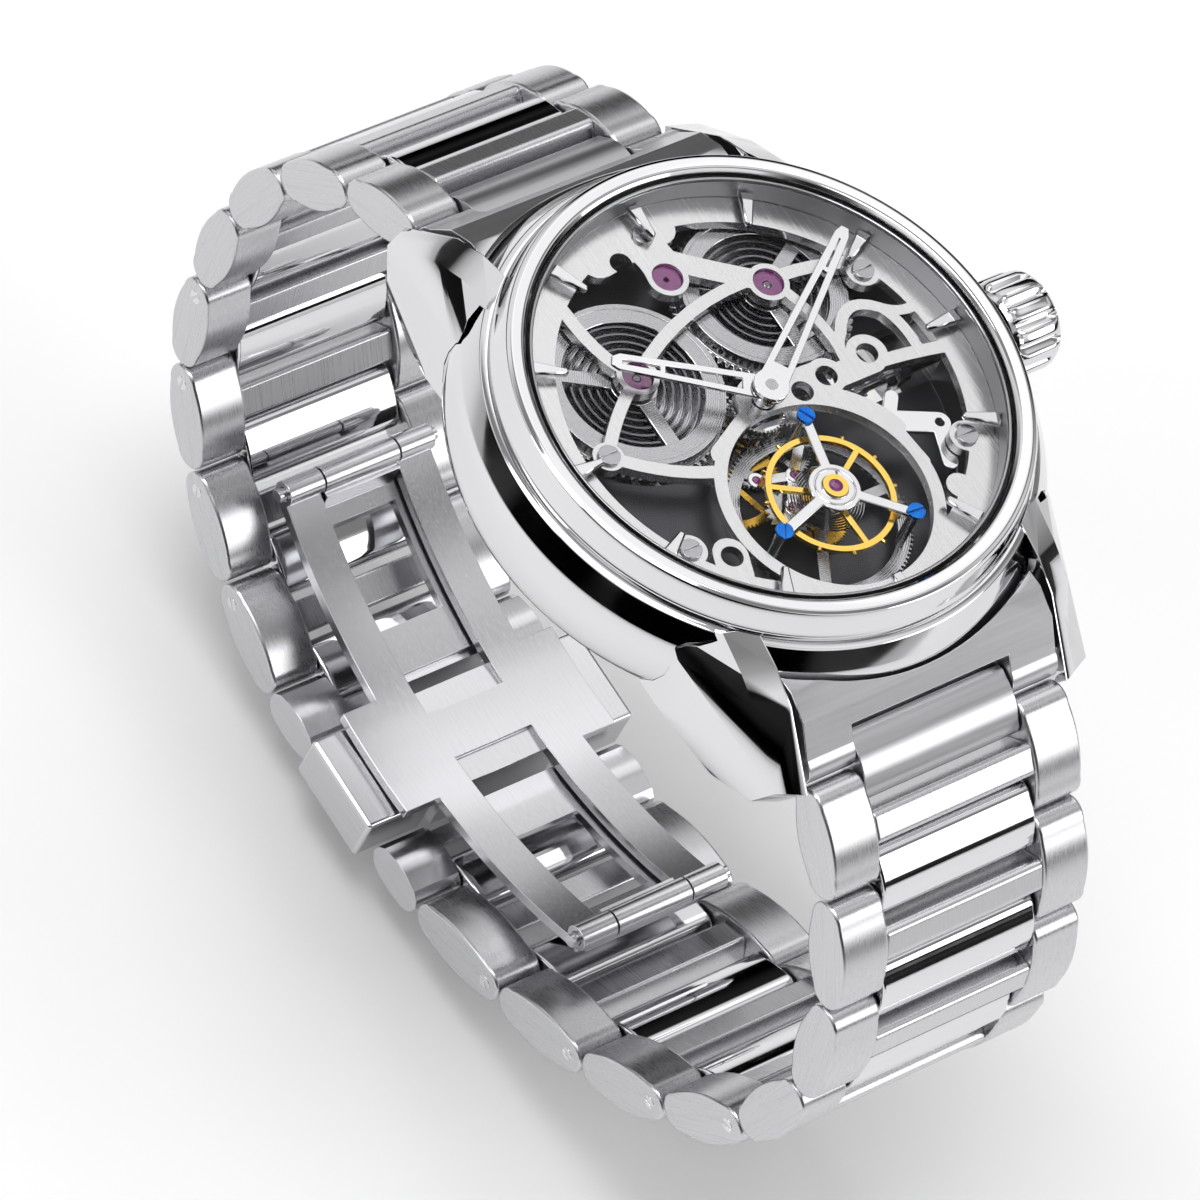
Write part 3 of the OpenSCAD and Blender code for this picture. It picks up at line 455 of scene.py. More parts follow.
# %% Carry a piece over from the model
def carried(node, materials, slot, bevel=0.08, steps=2, sharp=30, flat=1.0, axis_at=None):
    """A copy of a CAD node with whole faces and bevelled edges, which stands for the node."""
    source = frame["nodes"][node]
    builder = bmesh.new()
    builder.from_mesh(source.data)
    bmesh.ops.remove_doubles(builder, verts=builder.verts, dist=0.0005 * MM)
    bmesh.ops.dissolve_limit(builder, angle_limit=math.radians(flat), verts=builder.verts,
                             edges=builder.edges, delimit={"NORMAL"})
    name = node + "_finished"
    mesh = bpy.data.meshes.new(name)
    at = Matrix.Identity(4)
    if axis_at is not None:
        at = Matrix.Translation(metres(*axis_at))
        bmesh.ops.transform(builder, matrix=at.inverted(), verts=builder.verts)
    builder.to_mesh(mesh)
    builder.free()
    mesh.materials.clear()
    mesh.polygons.foreach_set("material_index", [0] * len(mesh.polygons))
    return finish_piece(name, mesh, source["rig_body"], slot, materials, bevel, steps, sharp,
                        (node,), at)


print("nodes to finish:", len(frame["nodes"]))

# %% [markdown]
# ## The case
# The middle of the case is turned on a lathe: a steep chamfer at the top, a belly, and a step in
# to the case back. It is made by turning one profile round the axis, in 192 steps, so that its
# reflections run smoothly. A short tube at 3 o'clock carries the crown.

# %% Case middle
CASE_SIDE = [(19.7, -1.1), (20.15, -1.25), (21.0, -2.6), (21.35, -3.3), (21.5, -4.6),
             (21.45, -5.8), (21.1, -7.3), (20.5, -8.5), (19.8, -8.9)]
CASE_GROOVE = [(18.65, -8.9), (18.65, -8.6), (18.15, -8.6), (18.15, -8.9), (17.6, -8.9),
               (17.6, -1.1)]
CROWN_TUBE = [(0.7, 20.9), (1.6, 20.9), (1.6, 22.7), (0.7, 22.7)]
case_shell = joined(lathed(CASE_SIDE + CASE_GROOVE),
                    moved(lathed(CROWN_TUBE, 48, "X"), z=STEM_LEVEL))
drawn("case_middle_polished", case_shell, "case", "polished_steel", [polished_steel], bevel=0.06,
      sharp=25, nodes=("case_middle",), at=dial_plane)
print("case is", 2 * max(r for r, h in CASE_SIDE), "mm across")

# %% [markdown]
# The bezel holds the crystal. It has a broad sloping face, a narrow flat and a polished lip, and
# each of them mirrors another part of the room, which is what makes a bezel look like steel. The
# crystal is a thin pane with a low dome and a skirt, and both are turned like the case.

# %% Bezel and crystal
BEZEL = [(17.6, -1.05), (19.6, -1.05), (19.6, -0.62), (19.42, -0.3), (19.22, 0.9), (19.0, 1.32),
         (18.72, 1.45), (18.05, 1.45), (17.85, 1.4), (17.6, 1.18)]
DOME_R, DOME_TOP, DOME_RISE = 17.55, 2.02, 0.57
drawn("bezel_polished", lathed(BEZEL), "case", "polished_steel", [polished_steel], bevel=0.05,
      sharp=20, nodes=("bezel",), at=dial_plane)
dome = [(DOME_R * math.sin(t * math.pi / 32),
         DOME_TOP - DOME_RISE * math.sin(t * math.pi / 32) ** 2) for t in range(17)]
crystal_profile = [(0.0, 1.2), (17.3, 1.2), (17.3, 0.45), (DOME_R, 0.45)] + dome[:0:-1]
crystal_profile += [(0.0, DOME_TOP)]
drawn("crystal_clear", lathed(crystal_profile, 128), "case", "sapphire", [sapphire], sharp=35,
      nodes=("crystal",), at=dial_plane)
print("crystal rises to", DOME_TOP, "mm over the dial")

# %% [markdown]
# Four horns grow out of the case and hold the bracelet. They are facetted and polished. The rest
# of the case is turned too: a satin ring slopes down to the dial, and the back is screwed on. The
# engineering model has these shapes as they should be, so they are carried over. Only the horns
# get a wide bevel, because polishing has rounded their edges.

# %% Horns, rehaut, back and seals
carried("lug_horns", [polished_steel, polished_steel], "polished_steel", bevel=0.3, steps=3,
        sharp=33, flat=2.0)
carried("rehaut_ring", [satin_grey, polished_steel], "brushed_steel", bevel=0.03, sharp=25)
carried("case_back", [satin_grey, polished_steel], "brushed_steel")
carried("back_crystal", [sapphire], "sapphire", bevel=0.0)
carried("seals", [seal_rubber], "seal_rubber", bevel=0.03)

# %% [markdown]
# ## The bracelet's run
# The bracelet leaves the case at both ends and each link hangs a little steeper than the one
# before. The model was laid out the same way: a first joint, the length of each link, and its
# angle below the horizontal. The joints come from adding one link after the other.

# %% Joints of the bracelet
FIRST_JOINT = (24.5, -7.9)
LINKS = 8
LINK_LENGTHS = {12: [8.2 + 0.1 * i for i in range(LINKS)], 6: [8.6 + 0.2 * i for i in range(LINKS)]}
LINK_ANGLES = {12: [28.4, 47.4, 71.6, 88, 100, 125, 143, 157],
               6: [46.4, 60, 80, 106, 131, 143, 156, 165]}
CLASP_ANGLE = 178


def stepped(point, length, angle):
    a = math.radians(angle)
    return point[0] + length * math.cos(a), point[1] - length * math.sin(a)


def joints_of(side):
    run = [FIRST_JOINT]
    for length, angle in zip(LINK_LENGTHS[side], LINK_ANGLES[side]):
        run.append(stepped(run[-1], length, angle))
    return run


def link_place(side, p, q):
    """The frame of a link between two points of the run: Y along it and Z outwards."""
    angle = math.atan2(q[1] - p[1], q[0] - p[0])
    sign = 1 if side == 12 else -1
    middle = metres(0, sign * (p[0] + q[0]) / 2, DIAL + (p[1] + q[1]) / 2)
    return Matrix.Translation(middle) @ Matrix.Rotation(sign * angle, 4, "X")


print("last joints", [[round(v, 1) for v in joints_of(s)[-1]] for s in (12, 6)])

# %% [markdown]
# ## Links
# Each link is a brushed H: two flanks with round ends and a bar between them. Between two H links
# lies a polished bar, crowned along the bracelet. Both are drawn as an outline seen from the side,
# and pushed across. The edges of the brushed flanks are softened, and those of the polished bars
# are rounded too, so that a bright line runs along them.

# %% Outline of a link
LINK_HALF, MID_HALF, PIN_IN = 11.0, 6.8, 1.6
FLANK_IN = MID_HALF + 0.15
BAR = [(1.25, -1.3), (1.25, 1.45), (0.95, 1.8), (-0.95, 1.8), (-1.25, 1.45), (-1.25, -1.3)]


def leaf(half, end_r, top, bottom, steps=12):
    """Side outline: round ends at +-half, bulged to top and bottom in between."""
    out = []
    for k in range(steps + 1):
        t = 1 - 2 * k / steps
        out.append((half * t, end_r + (top - end_r) * (1 - t * t)))
    for k in range(1, steps):
        a = math.pi * k / steps
        out.append((-half - end_r * math.sin(a), end_r * math.cos(a)))
    for k in range(steps + 1):
        t = 2 * k / steps - 1
        out.append((half * t, -end_r - (bottom - end_r) * (1 - t * t)))
    for k in range(1, steps):
        a = math.pi * k / steps
        out.append((half + end_r * math.sin(a), -end_r * math.cos(a)))
    return out


def brushed_link(half):
    flank = leaf(half, 1.5, 1.95, 1.95)
    return joined(extruded(flank, FLANK_IN, LINK_HALF, "X"),
                  extruded(flank, -LINK_HALF, -FLANK_IN, "X"),
                  extruded(BAR, -FLANK_IN - 0.05, FLANK_IN + 0.05, "X"))


def polished_bar(half):
    return extruded(leaf(half, 1.05, 1.4, 1.2), -MID_HALF, MID_HALF, "X")


print("links are", 2 * LINK_HALF, "mm wide, with bars of", 2 * MID_HALF, "mm")

# %% [markdown]
# The links nearest the clasp are held by slotted pin screws, so that the bracelet can be
# shortened. A screw head is a small disc with a slot, sunk into the link's flank. The slot could be
# cut by a Boolean, but two half discs over a round floor give the same look with clean edges.

# %% A slotted pin head
def pin_head(x, y, radius=0.55, slot=0.09, tilt=0.6):
    """A slotted disc facing along X: two half discs either side of a narrow gap over a floor."""
    sign = 1 if x > 0 else -1
    start = math.asin(slot / radius)
    parts = []
    for half in (1, -1):
        bow = [start + (math.pi - 2 * start) * k / 12 for k in range(13)]
        outline = [(radius * math.cos(a), half * radius * math.sin(a)) for a in bow]
        outline = [(u * math.cos(tilt) - v * math.sin(tilt) + y,
                    u * math.sin(tilt) + v * math.cos(tilt)) for u, v in outline]
        parts.append(extruded(outline, x - 0.35 * sign, x + 0.03 * sign, "X"))
    floor = [(0.9 * radius * math.cos(math.tau * k / 24) + y,
              0.9 * radius * math.sin(math.tau * k / 24)) for k in range(24)]
    parts.append(extruded(floor, x - 0.4 * sign, x - 0.1 * sign, "X"))
    return joined(*parts)


print("a pin head has", len(pin_head(1, 0)[1]), "faces")

# %% [markdown]
# Now the eight links of each side are made in one loop. Each brushed link lies between its two
# joints, and the polished bar after it bridges the bend to the next link. Both ride on that link's
# body, so that the bracelet can open.

# %% All the links
FIRST_SCREWED = 4

for side in (12, 6):
    joints = joints_of(side)
    for i in range(LINKS):
        name, angle = f"link_{side}_{i + 1}", LINK_ANGLES[side][i]
        p, q = joints[i], joints[i + 1]
        half = math.dist(p, q) / 2 - PIN_IN
        place = link_place(side, p, q)
        drawn(name + "_brushed", brushed_link(half), name, "brushed_steel", [brushed_steel],
              bevel=0.22, steps=3, sharp=40, nodes=(name,), at=place)
        next_angle = CLASP_ANGLE if i == LINKS - 1 else LINK_ANGLES[side][i + 1]
        a, b = stepped(q, -PIN_IN, angle), stepped(q, PIN_IN, next_angle)
        drawn(name + "_polished", polished_bar(math.dist(a, b) / 2), name, "polished_steel",
              [polished_steel], bevel=0.2, steps=3, sharp=40, at=link_place(side, a, b))
        if i >= FIRST_SCREWED:
            heads = [pin_head(x, -half if side == 12 else half) for x in (LINK_HALF, -LINK_HALF)]
            drawn(name + "_screws", joined(*heads), name, "polished_steel", [polished_steel],
                  bevel=0.04, sharp=40, at=place)

# %% [markdown]
# ## End links
# A solid brushed piece fills the gap between the horns and carries the first polished bar. Its
# brushing runs across the bracelet, which is along X here. Its shape is carried over.

# %% End links
carried("end_links", [cross_steel, polished_steel], "brushed_steel", bevel=0.12)
print("end links done")

# %% [markdown]
# ## The clasp
# A butterfly clasp has a frame against the wrist and two curved blades that swing out of its ends.
# All three are stamped from sheet and polished on their edges. Two push buttons release them. The
# shapes are carried over, and the wide bevel on the buttons makes them look like pressed caps.

# %% Clasp and push buttons
for node in ("clasp_frame", "clasp_blade_12", "clasp_blade_6"):
    carried(node, [clasp_steel, polished_steel], "polished_steel", bevel=0.16, steps=3)
for node in ("push_button_3", "push_button_9"):
    carried(node, [clasp_steel, polished_steel], "polished_steel", bevel=0.3, steps=3)

# %% [markdown]
# ## Crown
# The crown has broad rounded flutes for the fingers and a slightly domed face. It could be cut
# from a disc, but a stack of wavy rings along X, each with its own size and depth of flute, lets
# the flutes fade out at both rims as they do on a milled crown.

# %% Crown
FLUTES, CROWN_R, CROWN_AT = 12, 3.7, 21.7
AROUND = FLUTES * 12
CROWN_SECTIONS = [(0.0, 0.78, 0.0), (0.0, 0.86, 0.0), (0.35, 0.9, 0.0), (0.5, 0.97, 0.45),
                  (0.9, 1.0, 0.5), (3.2, 1.0, 0.5), (3.7, 0.97, 0.35), (3.95, 0.93, 0.05),
                  (4.1, 0.88, 0.0), (4.2, 0.8, 0.0), (4.2, 0.4, 0.0)]


def crown_ring(scale, depth):
    """One ring of the crown: lobes with narrow valleys between them."""
    ring = []
    for k in range(AROUND):
        a = math.tau * k / AROUND
        r = scale * (CROWN_R - depth * abs(math.cos(FLUTES * a / 2)) ** 6)
        ring.append((r * math.cos(a), r * math.sin(a)))
    return ring


crown_verts, crown_faces = [], []
for x, scale, depth in CROWN_SECTIONS:
    crown_verts += [(CROWN_AT + x, y, z + STEM_LEVEL) for y, z in crown_ring(scale, depth)]
for s in range(len(CROWN_SECTIONS) - 1):
    for k in range(AROUND):
        a, b = s * AROUND + k, s * AROUND + (k + 1) % AROUND
        crown_faces.append((a, b, b + AROUND, a + AROUND))
last = len(crown_verts) - AROUND
crown_faces += [tuple(range(AROUND))[::-1], tuple(range(last, last + AROUND))]
drawn("crown_fluted", (crown_verts, crown_faces), "crown", "polished_steel", [polished_steel],
      sharp=35, nodes=("crown",), at=dial_plane)
carried("winding_stem", [hard_steel], "movement_steel", bevel=0.03)
print("crown done, with", FLUTES, "flutes")

# %% [markdown]
# ## Hands and hour marks
# The hands are pencil shaped and cut open, with a bevel down each side. Each hour mark is a wedge
# with a ridge, which shows one bright and one dark face. One step of bevel is enough, because a
# diamond tool cuts such small parts in flat facets.

# %% Hands and hour marks
carried("minute_hand", [rhodium_bright, polished_steel], "polished_steel", bevel=0.12, steps=1)
carried("hour_hand", [rhodium_bright, polished_steel], "polished_steel", bevel=0.1, steps=1)
carried("hour_indices", [polished_steel, polished_steel], "polished_steel", bevel=0.14, steps=1)

# %% [markdown]
# ## The skeleton bridge
# A skeleton bridge is a plate sawn away to thin arms. Its top is drawn straight with fine paper and
# every edge is bevelled and polished by hand, which gives the bright outline. The bevel's own
# material does the same here. The plate below is painted darker, as painted shade under the arms,
# so that the arms stand out.

# %% Bridges and plates
carried("skeleton_bridge", [rhodium, rhodium_bright], "movement_nickel", bevel=0.1)
# The main plate's nearly black grey is painted shade, for the depth under the bridges.
carried("main_plate", [painted_shade_plate, rhodium_bright], "movement_nickel")
carried("rear_bridge", [rhodium, rhodium_bright], "movement_nickel", bevel=0.1)
carried("keyless_cover", [rhodium_bright, rhodium_bright], "polished_steel", bevel=0.06)
carried("movement_screws", [hard_steel, polished_steel], "movement_steel", bevel=0.04)
carried("setting_lever", [hard_steel], "movement_steel", bevel=0.04)
carried("jewels", [ruby], "ruby", bevel=0.05)

# %% [markdown]
# ## Barrels
# The two barrels store the power. Their places follow from their teeth: the left one drives the
# centre pinion and the right one, and two gears stand half their teeth apart, times the module.

# %% Where the barrels stand
MODULE, PINION, LEFT_TEETH, RIGHT_TEETH = 0.191, 20, 74, 70
LEFT_AT, RIGHT_AT = math.radians(144.3), math.radians(12)


def meshed(centre, teeth, other_teeth, turn):
    """The axis of a gear that meshes with another one, in a direction."""
    apart = (teeth + other_teeth) / 2 * MODULE
    return centre[0] + apart * math.cos(turn), centre[1] + apart * math.sin(turn)


AXIS_LEFT = meshed((0, 0), PINION, LEFT_TEETH, LEFT_AT)
AXIS_RIGHT = meshed(AXIS_LEFT, LEFT_TEETH, RIGHT_TEETH, RIGHT_AT)
print("barrels at", [[round(v, 2) for v in axis] for axis in (AXIS_LEFT, AXIS_RIGHT)])

# %% [markdown]
# The tops of the barrels are open and show the coiled mainspring, a long flat ribbon. The ribbon
# is drawn as a true spiral, point by point, since a stack of rings would show its ends. The
# tourbillon's hairspring is drawn with the same function later.

# %% A coiled ribbon
def ribbon(inner, outer, pitch, thick, low, high, steps=40):
    """A flat spiral ribbon, wound from the inner radius to the outer one."""
    count = int((outer - inner) / pitch * steps)
    verts, faces = [], []
    for k in range(count + 1):
        a, r = math.tau * k / steps, inner + pitch * k / steps
        for radius, h in ((r - thick / 2, low), (r + thick / 2, low), (r + thick / 2, high),
                          (r - thick / 2, high)):
            verts.append((radius * math.cos(a), radius * math.sin(a), h))
    for k in range(count):
        for j in range(4):
            a, b = 4 * k + j, 4 * k + (j + 1) % 4
            faces.append((a, b, b + 4, a + 4))
    end = 4 * count
    return verts, faces + [(3, 2, 1, 0), (end, end + 1, end + 2, end + 3)]


print("a ribbon of one turn has", len(ribbon(1, 2, 1, 0.1, 0, 1)[1]), "faces")

# %% [markdown]
# Each barrel is closed by a lid with three spokes, so that the spring shows between them. A spoke
# is a bar with round ends, and it lies a hundredth of a millimetre inside the rim's two faces, so
# that no two faces lie in one plane and flicker.

# %% A barrel lid
LID_LOW, LID_HIGH, SPOKES = 1.3, 1.46, 3


def capsule(p, q, width, steps=10):
    """Outline of a bar of a width between two points, with round ends."""
    a = math.atan2(q[1] - p[1], q[0] - p[0])
    ends = [(q, a - math.pi / 2), (p, a + math.pi / 2)]
    return [(c[0] + width / 2 * math.cos(t + math.pi * k / steps),
             c[1] + width / 2 * math.sin(t + math.pi * k / steps))
            for c, t in ends for k in range(steps + 1)]


def washer(inner, outer, steps):
    """A flat ring as thick as the lid."""
    return lathed([(inner, LID_LOW), (outer, LID_LOW), (outer, LID_HIGH), (inner, LID_HIGH)], steps)


def barrel_lid(tip):
    """A flat ring with spokes to a hub, that shows the spring between them."""
    spokes = []
    for k in range(SPOKES):
        a = math.tau * k / SPOKES + 0.5
        ends = [(r * math.cos(a), r * math.sin(a)) for r in (1.5, tip - 1.2)]
        spokes.append(extruded(capsule(*ends, 1.1), LID_LOW + 0.01, LID_HIGH - 0.01))
    return joined(washer(tip - 1.9, tip - 0.5, 96), washer(0.95, 1.75, 48), *spokes)


print("a lid is", round(LID_HIGH - LID_LOW, 2), "mm thick")

# %% [markdown]
# Barrel, ratchet wheel and spring share one axis, and the toothed wheels have turned rings round
# it. So each gets its origin there. The other wheels are carried over where they are: steel
# coloured ones under rhodium, and two in gilt brass.

# %% Barrels, springs and wheels
BARREL_FLOOR, BARREL_LEVEL, RATCHET_LEVEL = -3.45, -2, -6.4

for name, axis, teeth in (("left", AXIS_LEFT, LEFT_TEETH), ("right", AXIS_RIGHT, RIGHT_TEETH)):
    tip = teeth / 2 * MODULE
    place = Matrix.Translation(metres(*axis, DIAL + BARREL_FLOOR))
    drawn(f"mainspring_{name}_coiled", ribbon(1.75, tip - 1.0, 0.62, 0.16, 0.3, 1.2),
          f"barrel_{name}", "movement_steel", [spring_steel], sharp=35,
          nodes=(f"mainspring_{name}",), at=place)
    carried(f"barrel_{name}", [rhodium_rings, rhodium_bright], "movement_nickel", bevel=0.05,
            axis_at=(*axis, DIAL + BARREL_LEVEL))
    carried(f"ratchet_{name}", [spring_steel, polished_steel], "movement_steel", bevel=0.03,
            steps=1, axis_at=(*axis, DIAL + RATCHET_LEVEL))
    drawn(f"barrel_{name}_lid", barrel_lid(tip), f"barrel_{name}", "movement_nickel",
          [rhodium_rings, rhodium_bright], bevel=0.03, steps=1, at=place)
for node in ("centre_wheel", "minute_wheel", "fourth_wheel"):
    carried(node, [rhodium_rings, rhodium_bright], "movement_nickel", bevel=0.02, steps=1)
for node in ("third_wheel", "fixed_wheel"):
    carried(node, [gilt_rings, gilt_brass], "gilt_brass", bevel=0.02, steps=1)

# %% [markdown]
# A dark grained sheet is put in the lower left of the movement as painted shade, so that the gilt
# and steel pieces stand out. It fills the room between the barrel, the tourbillon and the rim of
# the movement, and so its outline is made of three arcs.

# %% Painted shade sheet over the train
RIM_R, ROOM_R = 14.8, 7.5
AXIS_TOURBILLON = (0.0, -8.4)


def arc(centre, radius, start, end, steps=24):
    turns = [math.radians(start + (end - start) * k / steps) for k in range(steps + 1)]
    return [(centre[0] + radius * math.cos(a), centre[1] + radius * math.sin(a)) for a in turns]


cover = arc((0, 0), RIM_R, 170, 249) + arc(AXIS_TOURBILLON, ROOM_R, 226, 120)
cover += arc(AXIS_LEFT, ROOM_R, 296, 198)
# This sheet is painted shade, dark where the movement shows only shade between its parts.
drawn("painted_shade_sheet", extruded(cover, -3.4, -3.2), "case", "movement_nickel",
      [painted_shade_plate, rhodium_bright], bevel=0.06, steps=1, at=dial_plane)

# %% [markdown]
# ## The tourbillon
# A tourbillon is a cage that carries the balance and the escapement and turns once a minute. Three
# slim arms hold its upper pivot, with a blued screw at each end. The cage's parts are carried over
# with their origin on its axis, so that their grain runs round it.

# %% Tourbillon cage
tourbillon_top = (*AXIS_TOURBILLON, DIAL)
cage_plane = Matrix.Translation(metres(*tourbillon_top))
carried("cage_base", [rhodium_rings, rhodium_bright], "movement_nickel", bevel=0.03, steps=1,
        axis_at=tourbillon_top)
carried("cage_bridge", [rhodium_bright, rhodium_bright], "polished_steel", bevel=0.07,
        axis_at=tourbillon_top)
carried("cage_screws", [blued_steel, blued_steel], "blued_steel", bevel=0.06)
carried("escape_wheel", [hard_steel, polished_steel], "movement_steel", bevel=0.02, steps=1)
carried("pallet_fork", [hard_steel], "movement_steel", bevel=0.0)

# %% [markdown]
# A pivot turns in a ruby that is pressed into a gilt ring, called a setting. Seen from above that
# is a red dot in a gold circle on a bright hub. The three are turned from small profiles, and each
# stands just above the one below it.

# %% Upper jewel of the cage
HUB = [(1.36, -0.06), (1.42, 0.0), (1.5, 0.0), (1.56, -0.06)]
SETTING = [(0.5, 0.08), (0.52, 0.16), (0.92, 0.16), (0.97, 0.08)]
STONE = [(0.0, 0.02), (0.52, 0.02), (0.52, 0.1), (0.3, 0.15), (0.0, 0.16)]
for name, profile, finish, slot in (("cage_hub_line", HUB, rhodium_bright, "polished_steel"),
                                    ("cage_jewel_setting", SETTING, gilt_brass, "gilt_brass"),
                                    ("cage_jewel", STONE, ruby, "ruby")):
    drawn(name, lathed(profile, 48), "tourbillon_cage", slot, [finish], sharp=50, at=cage_plane)
print("upper jewel done")

# %% [markdown]
# Below the balance a small bridge holds the escape wheel and the lever in three more jewels. It is
# drawn as four bars between their axes. Each bar is a few thousandths of a millimetre thinner than
# the one before, so that their faces don't lie in one plane where they cross.

# %% Escapement bridge and its jewels
ESCAPE_AXIS, PALLET_AXIS, THIRD_JEWEL = (-2.27, -7.62), (-0.7, -5.5), (-3.5, -4.8)
BRACKET = [(-5.0, -9.6), ESCAPE_AXIS, PALLET_AXIS, (1.1, -3.6)]
SMALL_SETTING = [(0.34, -2.3), (0.62, -2.3), (0.58, -2.16), (0.34, -2.16)]
SMALL_STONE = [(0.0, -2.3), (0.36, -2.3), (0.36, -2.2), (0.2, -2.15), (0.0, -2.15)]
spans = list(zip(BRACKET, BRACKET[1:])) + [(PALLET_AXIS, THIRD_JEWEL)]
bars = [extruded(capsule(p, q, 0.8), -2.4 + 0.004 * k, -2.24 - 0.004 * k)
        for k, (p, q) in enumerate(spans)]
drawn("escapement_bridge", joined(*bars), "tourbillon_cage", "polished_steel",
      [rhodium, rhodium_bright], bevel=0.05, steps=1, at=dial_plane)
for name, profile, finish, slot in (
        ("escapement_settings", SMALL_SETTING, rhodium_bright, "polished_steel"),
        ("escapement_jewels", SMALL_STONE, ruby, "ruby")):
    parts = [moved(lathed(profile, 32), x, y) for x, y in (ESCAPE_AXIS, PALLET_AXIS, THIRD_JEWEL)]
    drawn(name, joined(*parts), "tourbillon_cage", slot, [finish], sharp=50, at=dial_plane)

# %% [markdown]
# The balance is a gilt ring with small timing screws round it, and its hairspring is a fine flat
# spiral. The screws are turned heads that point outwards. The real spring is some 0.03 mm thick.
# Here it is 0.04 mm, so that its coils still show.

# %% Balance, timing screws and hairspring
TIMING_SCREWS, BALANCE_LEVEL = 12, -0.97
SCREW_HEAD = [(0.0, 4.7), (0.17, 4.7), (0.17, 4.98), (0.1, 5.05), (0.0, 5.05)]

carried("balance_wheel", [gilt_brass, gilt_brass], "gilt_brass", bevel=0.07)
head = moved(lathed(SCREW_HEAD, 16, "X"), z=BALANCE_LEVEL)
timing = [moved(head, turn=math.tau * (k + 0.5) / TIMING_SCREWS) for k in range(TIMING_SCREWS)]
drawn("balance_timing_screws", joined(*timing), "balance", "gilt_brass", [gilt_brass], sharp=40,
      at=cage_plane)
drawn("hairspring_coiled", ribbon(0.6, 2.7, 0.2, 0.04, -1.7, -1.5), "balance", "movement_steel",
      [hard_steel], sharp=40, nodes=("hairspring",), at=cage_plane)

# %% [markdown]
# ## Floor
# Polished steel shows only what is round it, so the studio is part of the finish. The floor is a
# plain pale sheet just below the watch, wide enough that its edge is never seen from near.

# %% Floor
FLOOR_HALF, FLOOR_DROP = 3.0, 0.004     # metres
floor_z = cad_low.z - FLOOR_DROP
corners = [(x * FLOOR_HALF, y * FLOOR_HALF, floor_z)
           for x, y in ((-1, -1), (1, -1), (1, 1), (-1, 1))]
floor_mesh = bpy.data.meshes.new("floor")
floor_mesh.from_pydata(corners, [], [(0, 1, 2, 3)])
paper = new_material("pale_paper", roughness=0.9, base_color=linear("#f6f6f6"))[0]
floor_mesh.materials.append(paper)
floor = bpy.data.objects.new("floor", floor_mesh)
bpy.context.scene.collection.objects.link(floor)
print("floor at", round(1000 * floor_z, 1), "mm")

# %% [markdown]
# ## Tent
# A watch looks best in a white tent with some black cloth at its sides, which puts dark lines into
# the steel. Real cloth round the watch would hide it from other sides. So the tent is the world's
# own light: a ramp over height, bright overhead and black near the horizon, times a slow noise for
# soft dark patches.

# %% Tent light
TENT = [(0.0, 0.7), (0.4, 0.6), (0.47, 0.04), (0.6, 0.02), (0.66, 0.45), (0.74, 0.8),
        (0.9, 0.9), (0.96, 1.0), (1.0, 1.0)]
world = bpy.data.worlds.new("tent")
world.use_nodes = True
bpy.context.scene.world = world
tree = world.node_tree
sky = add_node(tree, "ShaderNodeTexCoord")
parts = add_node(tree, "ShaderNodeSeparateXYZ", links={"Vector": sky.outputs["Generated"]})
height = add_node(tree, "ShaderNodeMapRange", {"From Min": -1.0, "From Max": 1.0},
                  {"Value": parts.outputs["Z"]})
bands = add_node(tree, "ShaderNodeValToRGB", links={"Fac": height.outputs["Result"]})
ramp = bands.color_ramp
while len(ramp.elements) < len(TENT):
    ramp.elements.new(0.5)
for element, (position, grey) in zip(ramp.elements, TENT):
    element.position, element.color = position, (grey, grey, grey, 1)
cloth = add_node(tree, "ShaderNodeTexNoise", {"Scale": 1.7, "Detail": 0.0},
                 {"Vector": sky.outputs["Generated"]})
patches = add_node(tree, "ShaderNodeMapRange",
                   {"From Min": 0.36, "From Max": 0.5, "To Min": 0.25, "To Max": 1.0},
                   {"Value": cloth.outputs["Fac"]})
tent = add_node(tree, "ShaderNodeMixRGB", {"Fac": 1.0},
                {"Color1": bands.outputs["Color"], "Color2": patches.outputs["Result"]},
                blend_type="MULTIPLY")
print(len(TENT), "bands in the tent")

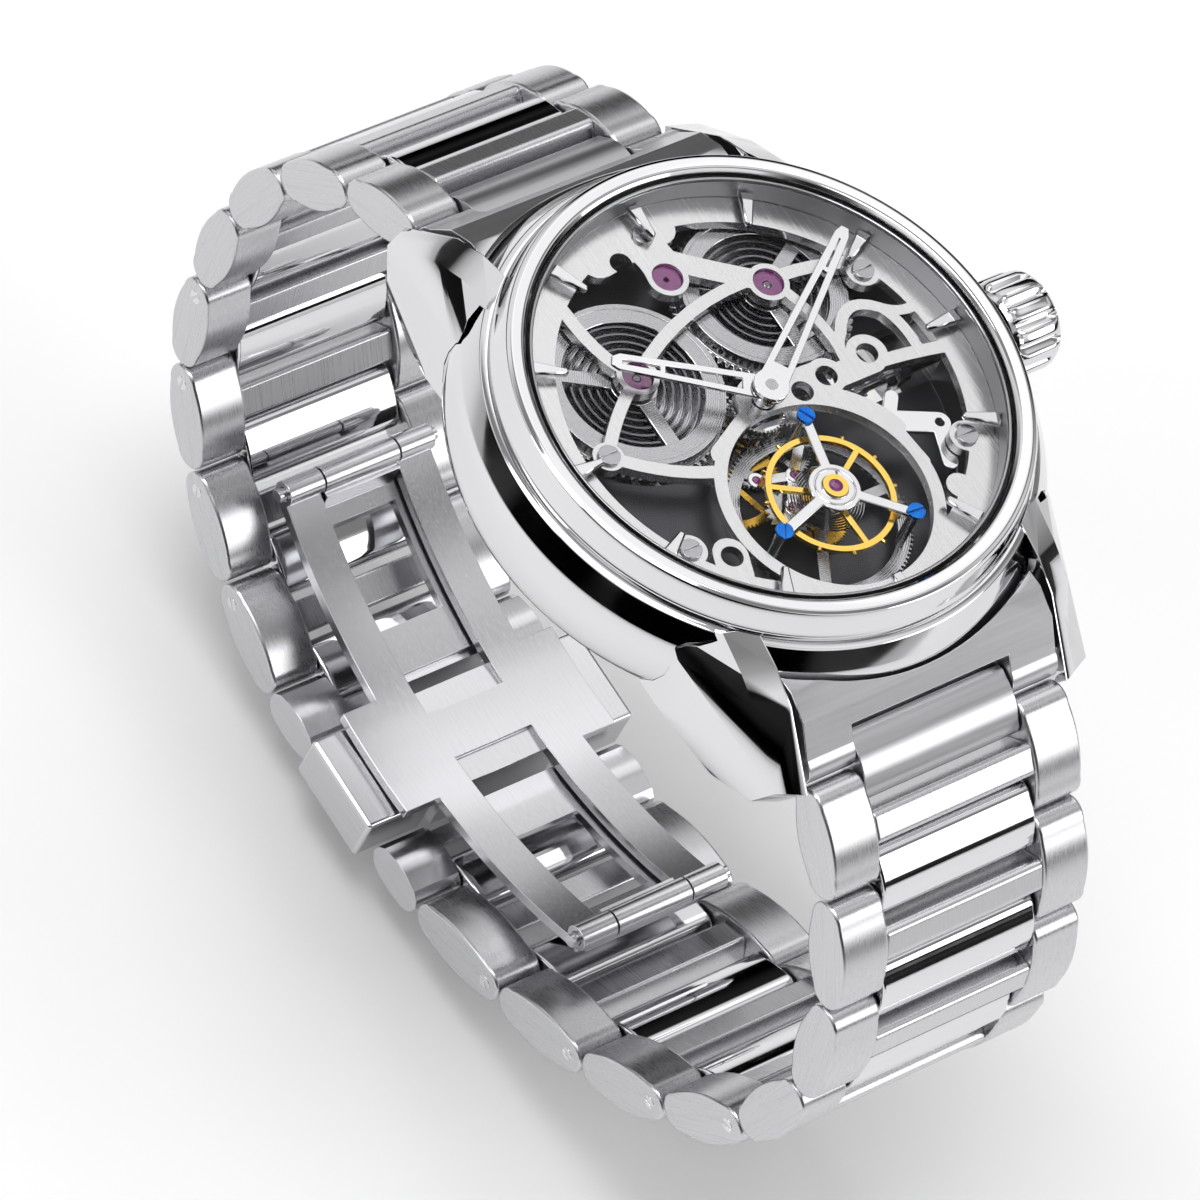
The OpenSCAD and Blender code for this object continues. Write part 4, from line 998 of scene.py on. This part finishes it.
# %% [markdown]
# Black cards stand low at the lower left, at the left and at the upper right of the tent. A card is
# a patch of directions near one direction, found with a dot product: 1 straight at its middle, and
# less the further off. It is black inside and fades out to its edge.

# %% Black cards
CARDS = [((-0.57, -0.77, 0.28), 0.82, 0.86), ((-0.97, 0.12, 0.2), 0.93, 0.96),
         ((0.62, 0.76, 0.2), 0.94, 0.97)]
CARD_BLACK, TENT_STRENGTH = 0.02, 1.15
light = tent.outputs["Color"]
for aim, edge, inside in CARDS:
    near = add_node(tree, "ShaderNodeVectorMath", {1: aim}, {0: sky.outputs["Generated"]},
                    operation="DOT_PRODUCT")
    card = add_node(tree, "ShaderNodeMapRange",
                    {"From Min": edge, "From Max": inside, "To Min": 1.0, "To Max": CARD_BLACK},
                    {"Value": near.outputs["Value"]})
    light = add_node(tree, "ShaderNodeMixRGB", {"Fac": 1.0},
                     {"Color1": light, "Color2": card.outputs["Result"]},
                     blend_type="MULTIPLY").outputs["Color"]
backdrop = tree.nodes["Background"]
tree.links.new(light, backdrop.inputs["Color"])
backdrop.inputs["Strength"].default_value = TENT_STRENGTH
print(len(CARDS), "cards")

# %% [markdown]
# ## Lamps
# Four round soft lamps light the watch: a large one overhead, one like a window on the left, a
# weak one that fills the near right side, and a small one that lights the dial through the
# crystal. Round lamps leave round highlights on the domed parts, as a studio's do.

# %% Soft lamps
# name, place in metres, width in metres, power in watts
LAMPS = [("overhead", (-0.1, 0.1, 0.75), 0.5, 3.0), ("window", (-0.75, 0.3, 0.4), 0.45, 1.7),
         ("fill", (0.5, -0.6, 0.35), 0.5, 1.4), ("dial", (0.42, 0.27, 0.63), 0.34, 0.28)]
for name, spot, size, power in LAMPS:
    lamp = bpy.data.lights.new(name, "AREA")
    lamp.shape, lamp.size, lamp.energy = "DISK", size, power
    holder = bpy.data.objects.new(name, lamp)
    bpy.context.scene.collection.objects.link(holder)
    holder.location = spot
    aim = (cad_low + cad_high) / 2 - Vector(spot)
    holder.rotation_mode = "QUATERNION"
    holder.rotation_quaternion = aim.to_track_quat("-Z", "Y")
bpy.context.scene.view_settings.view_transform = "Standard"
print(len(LAMPS), "lamps")
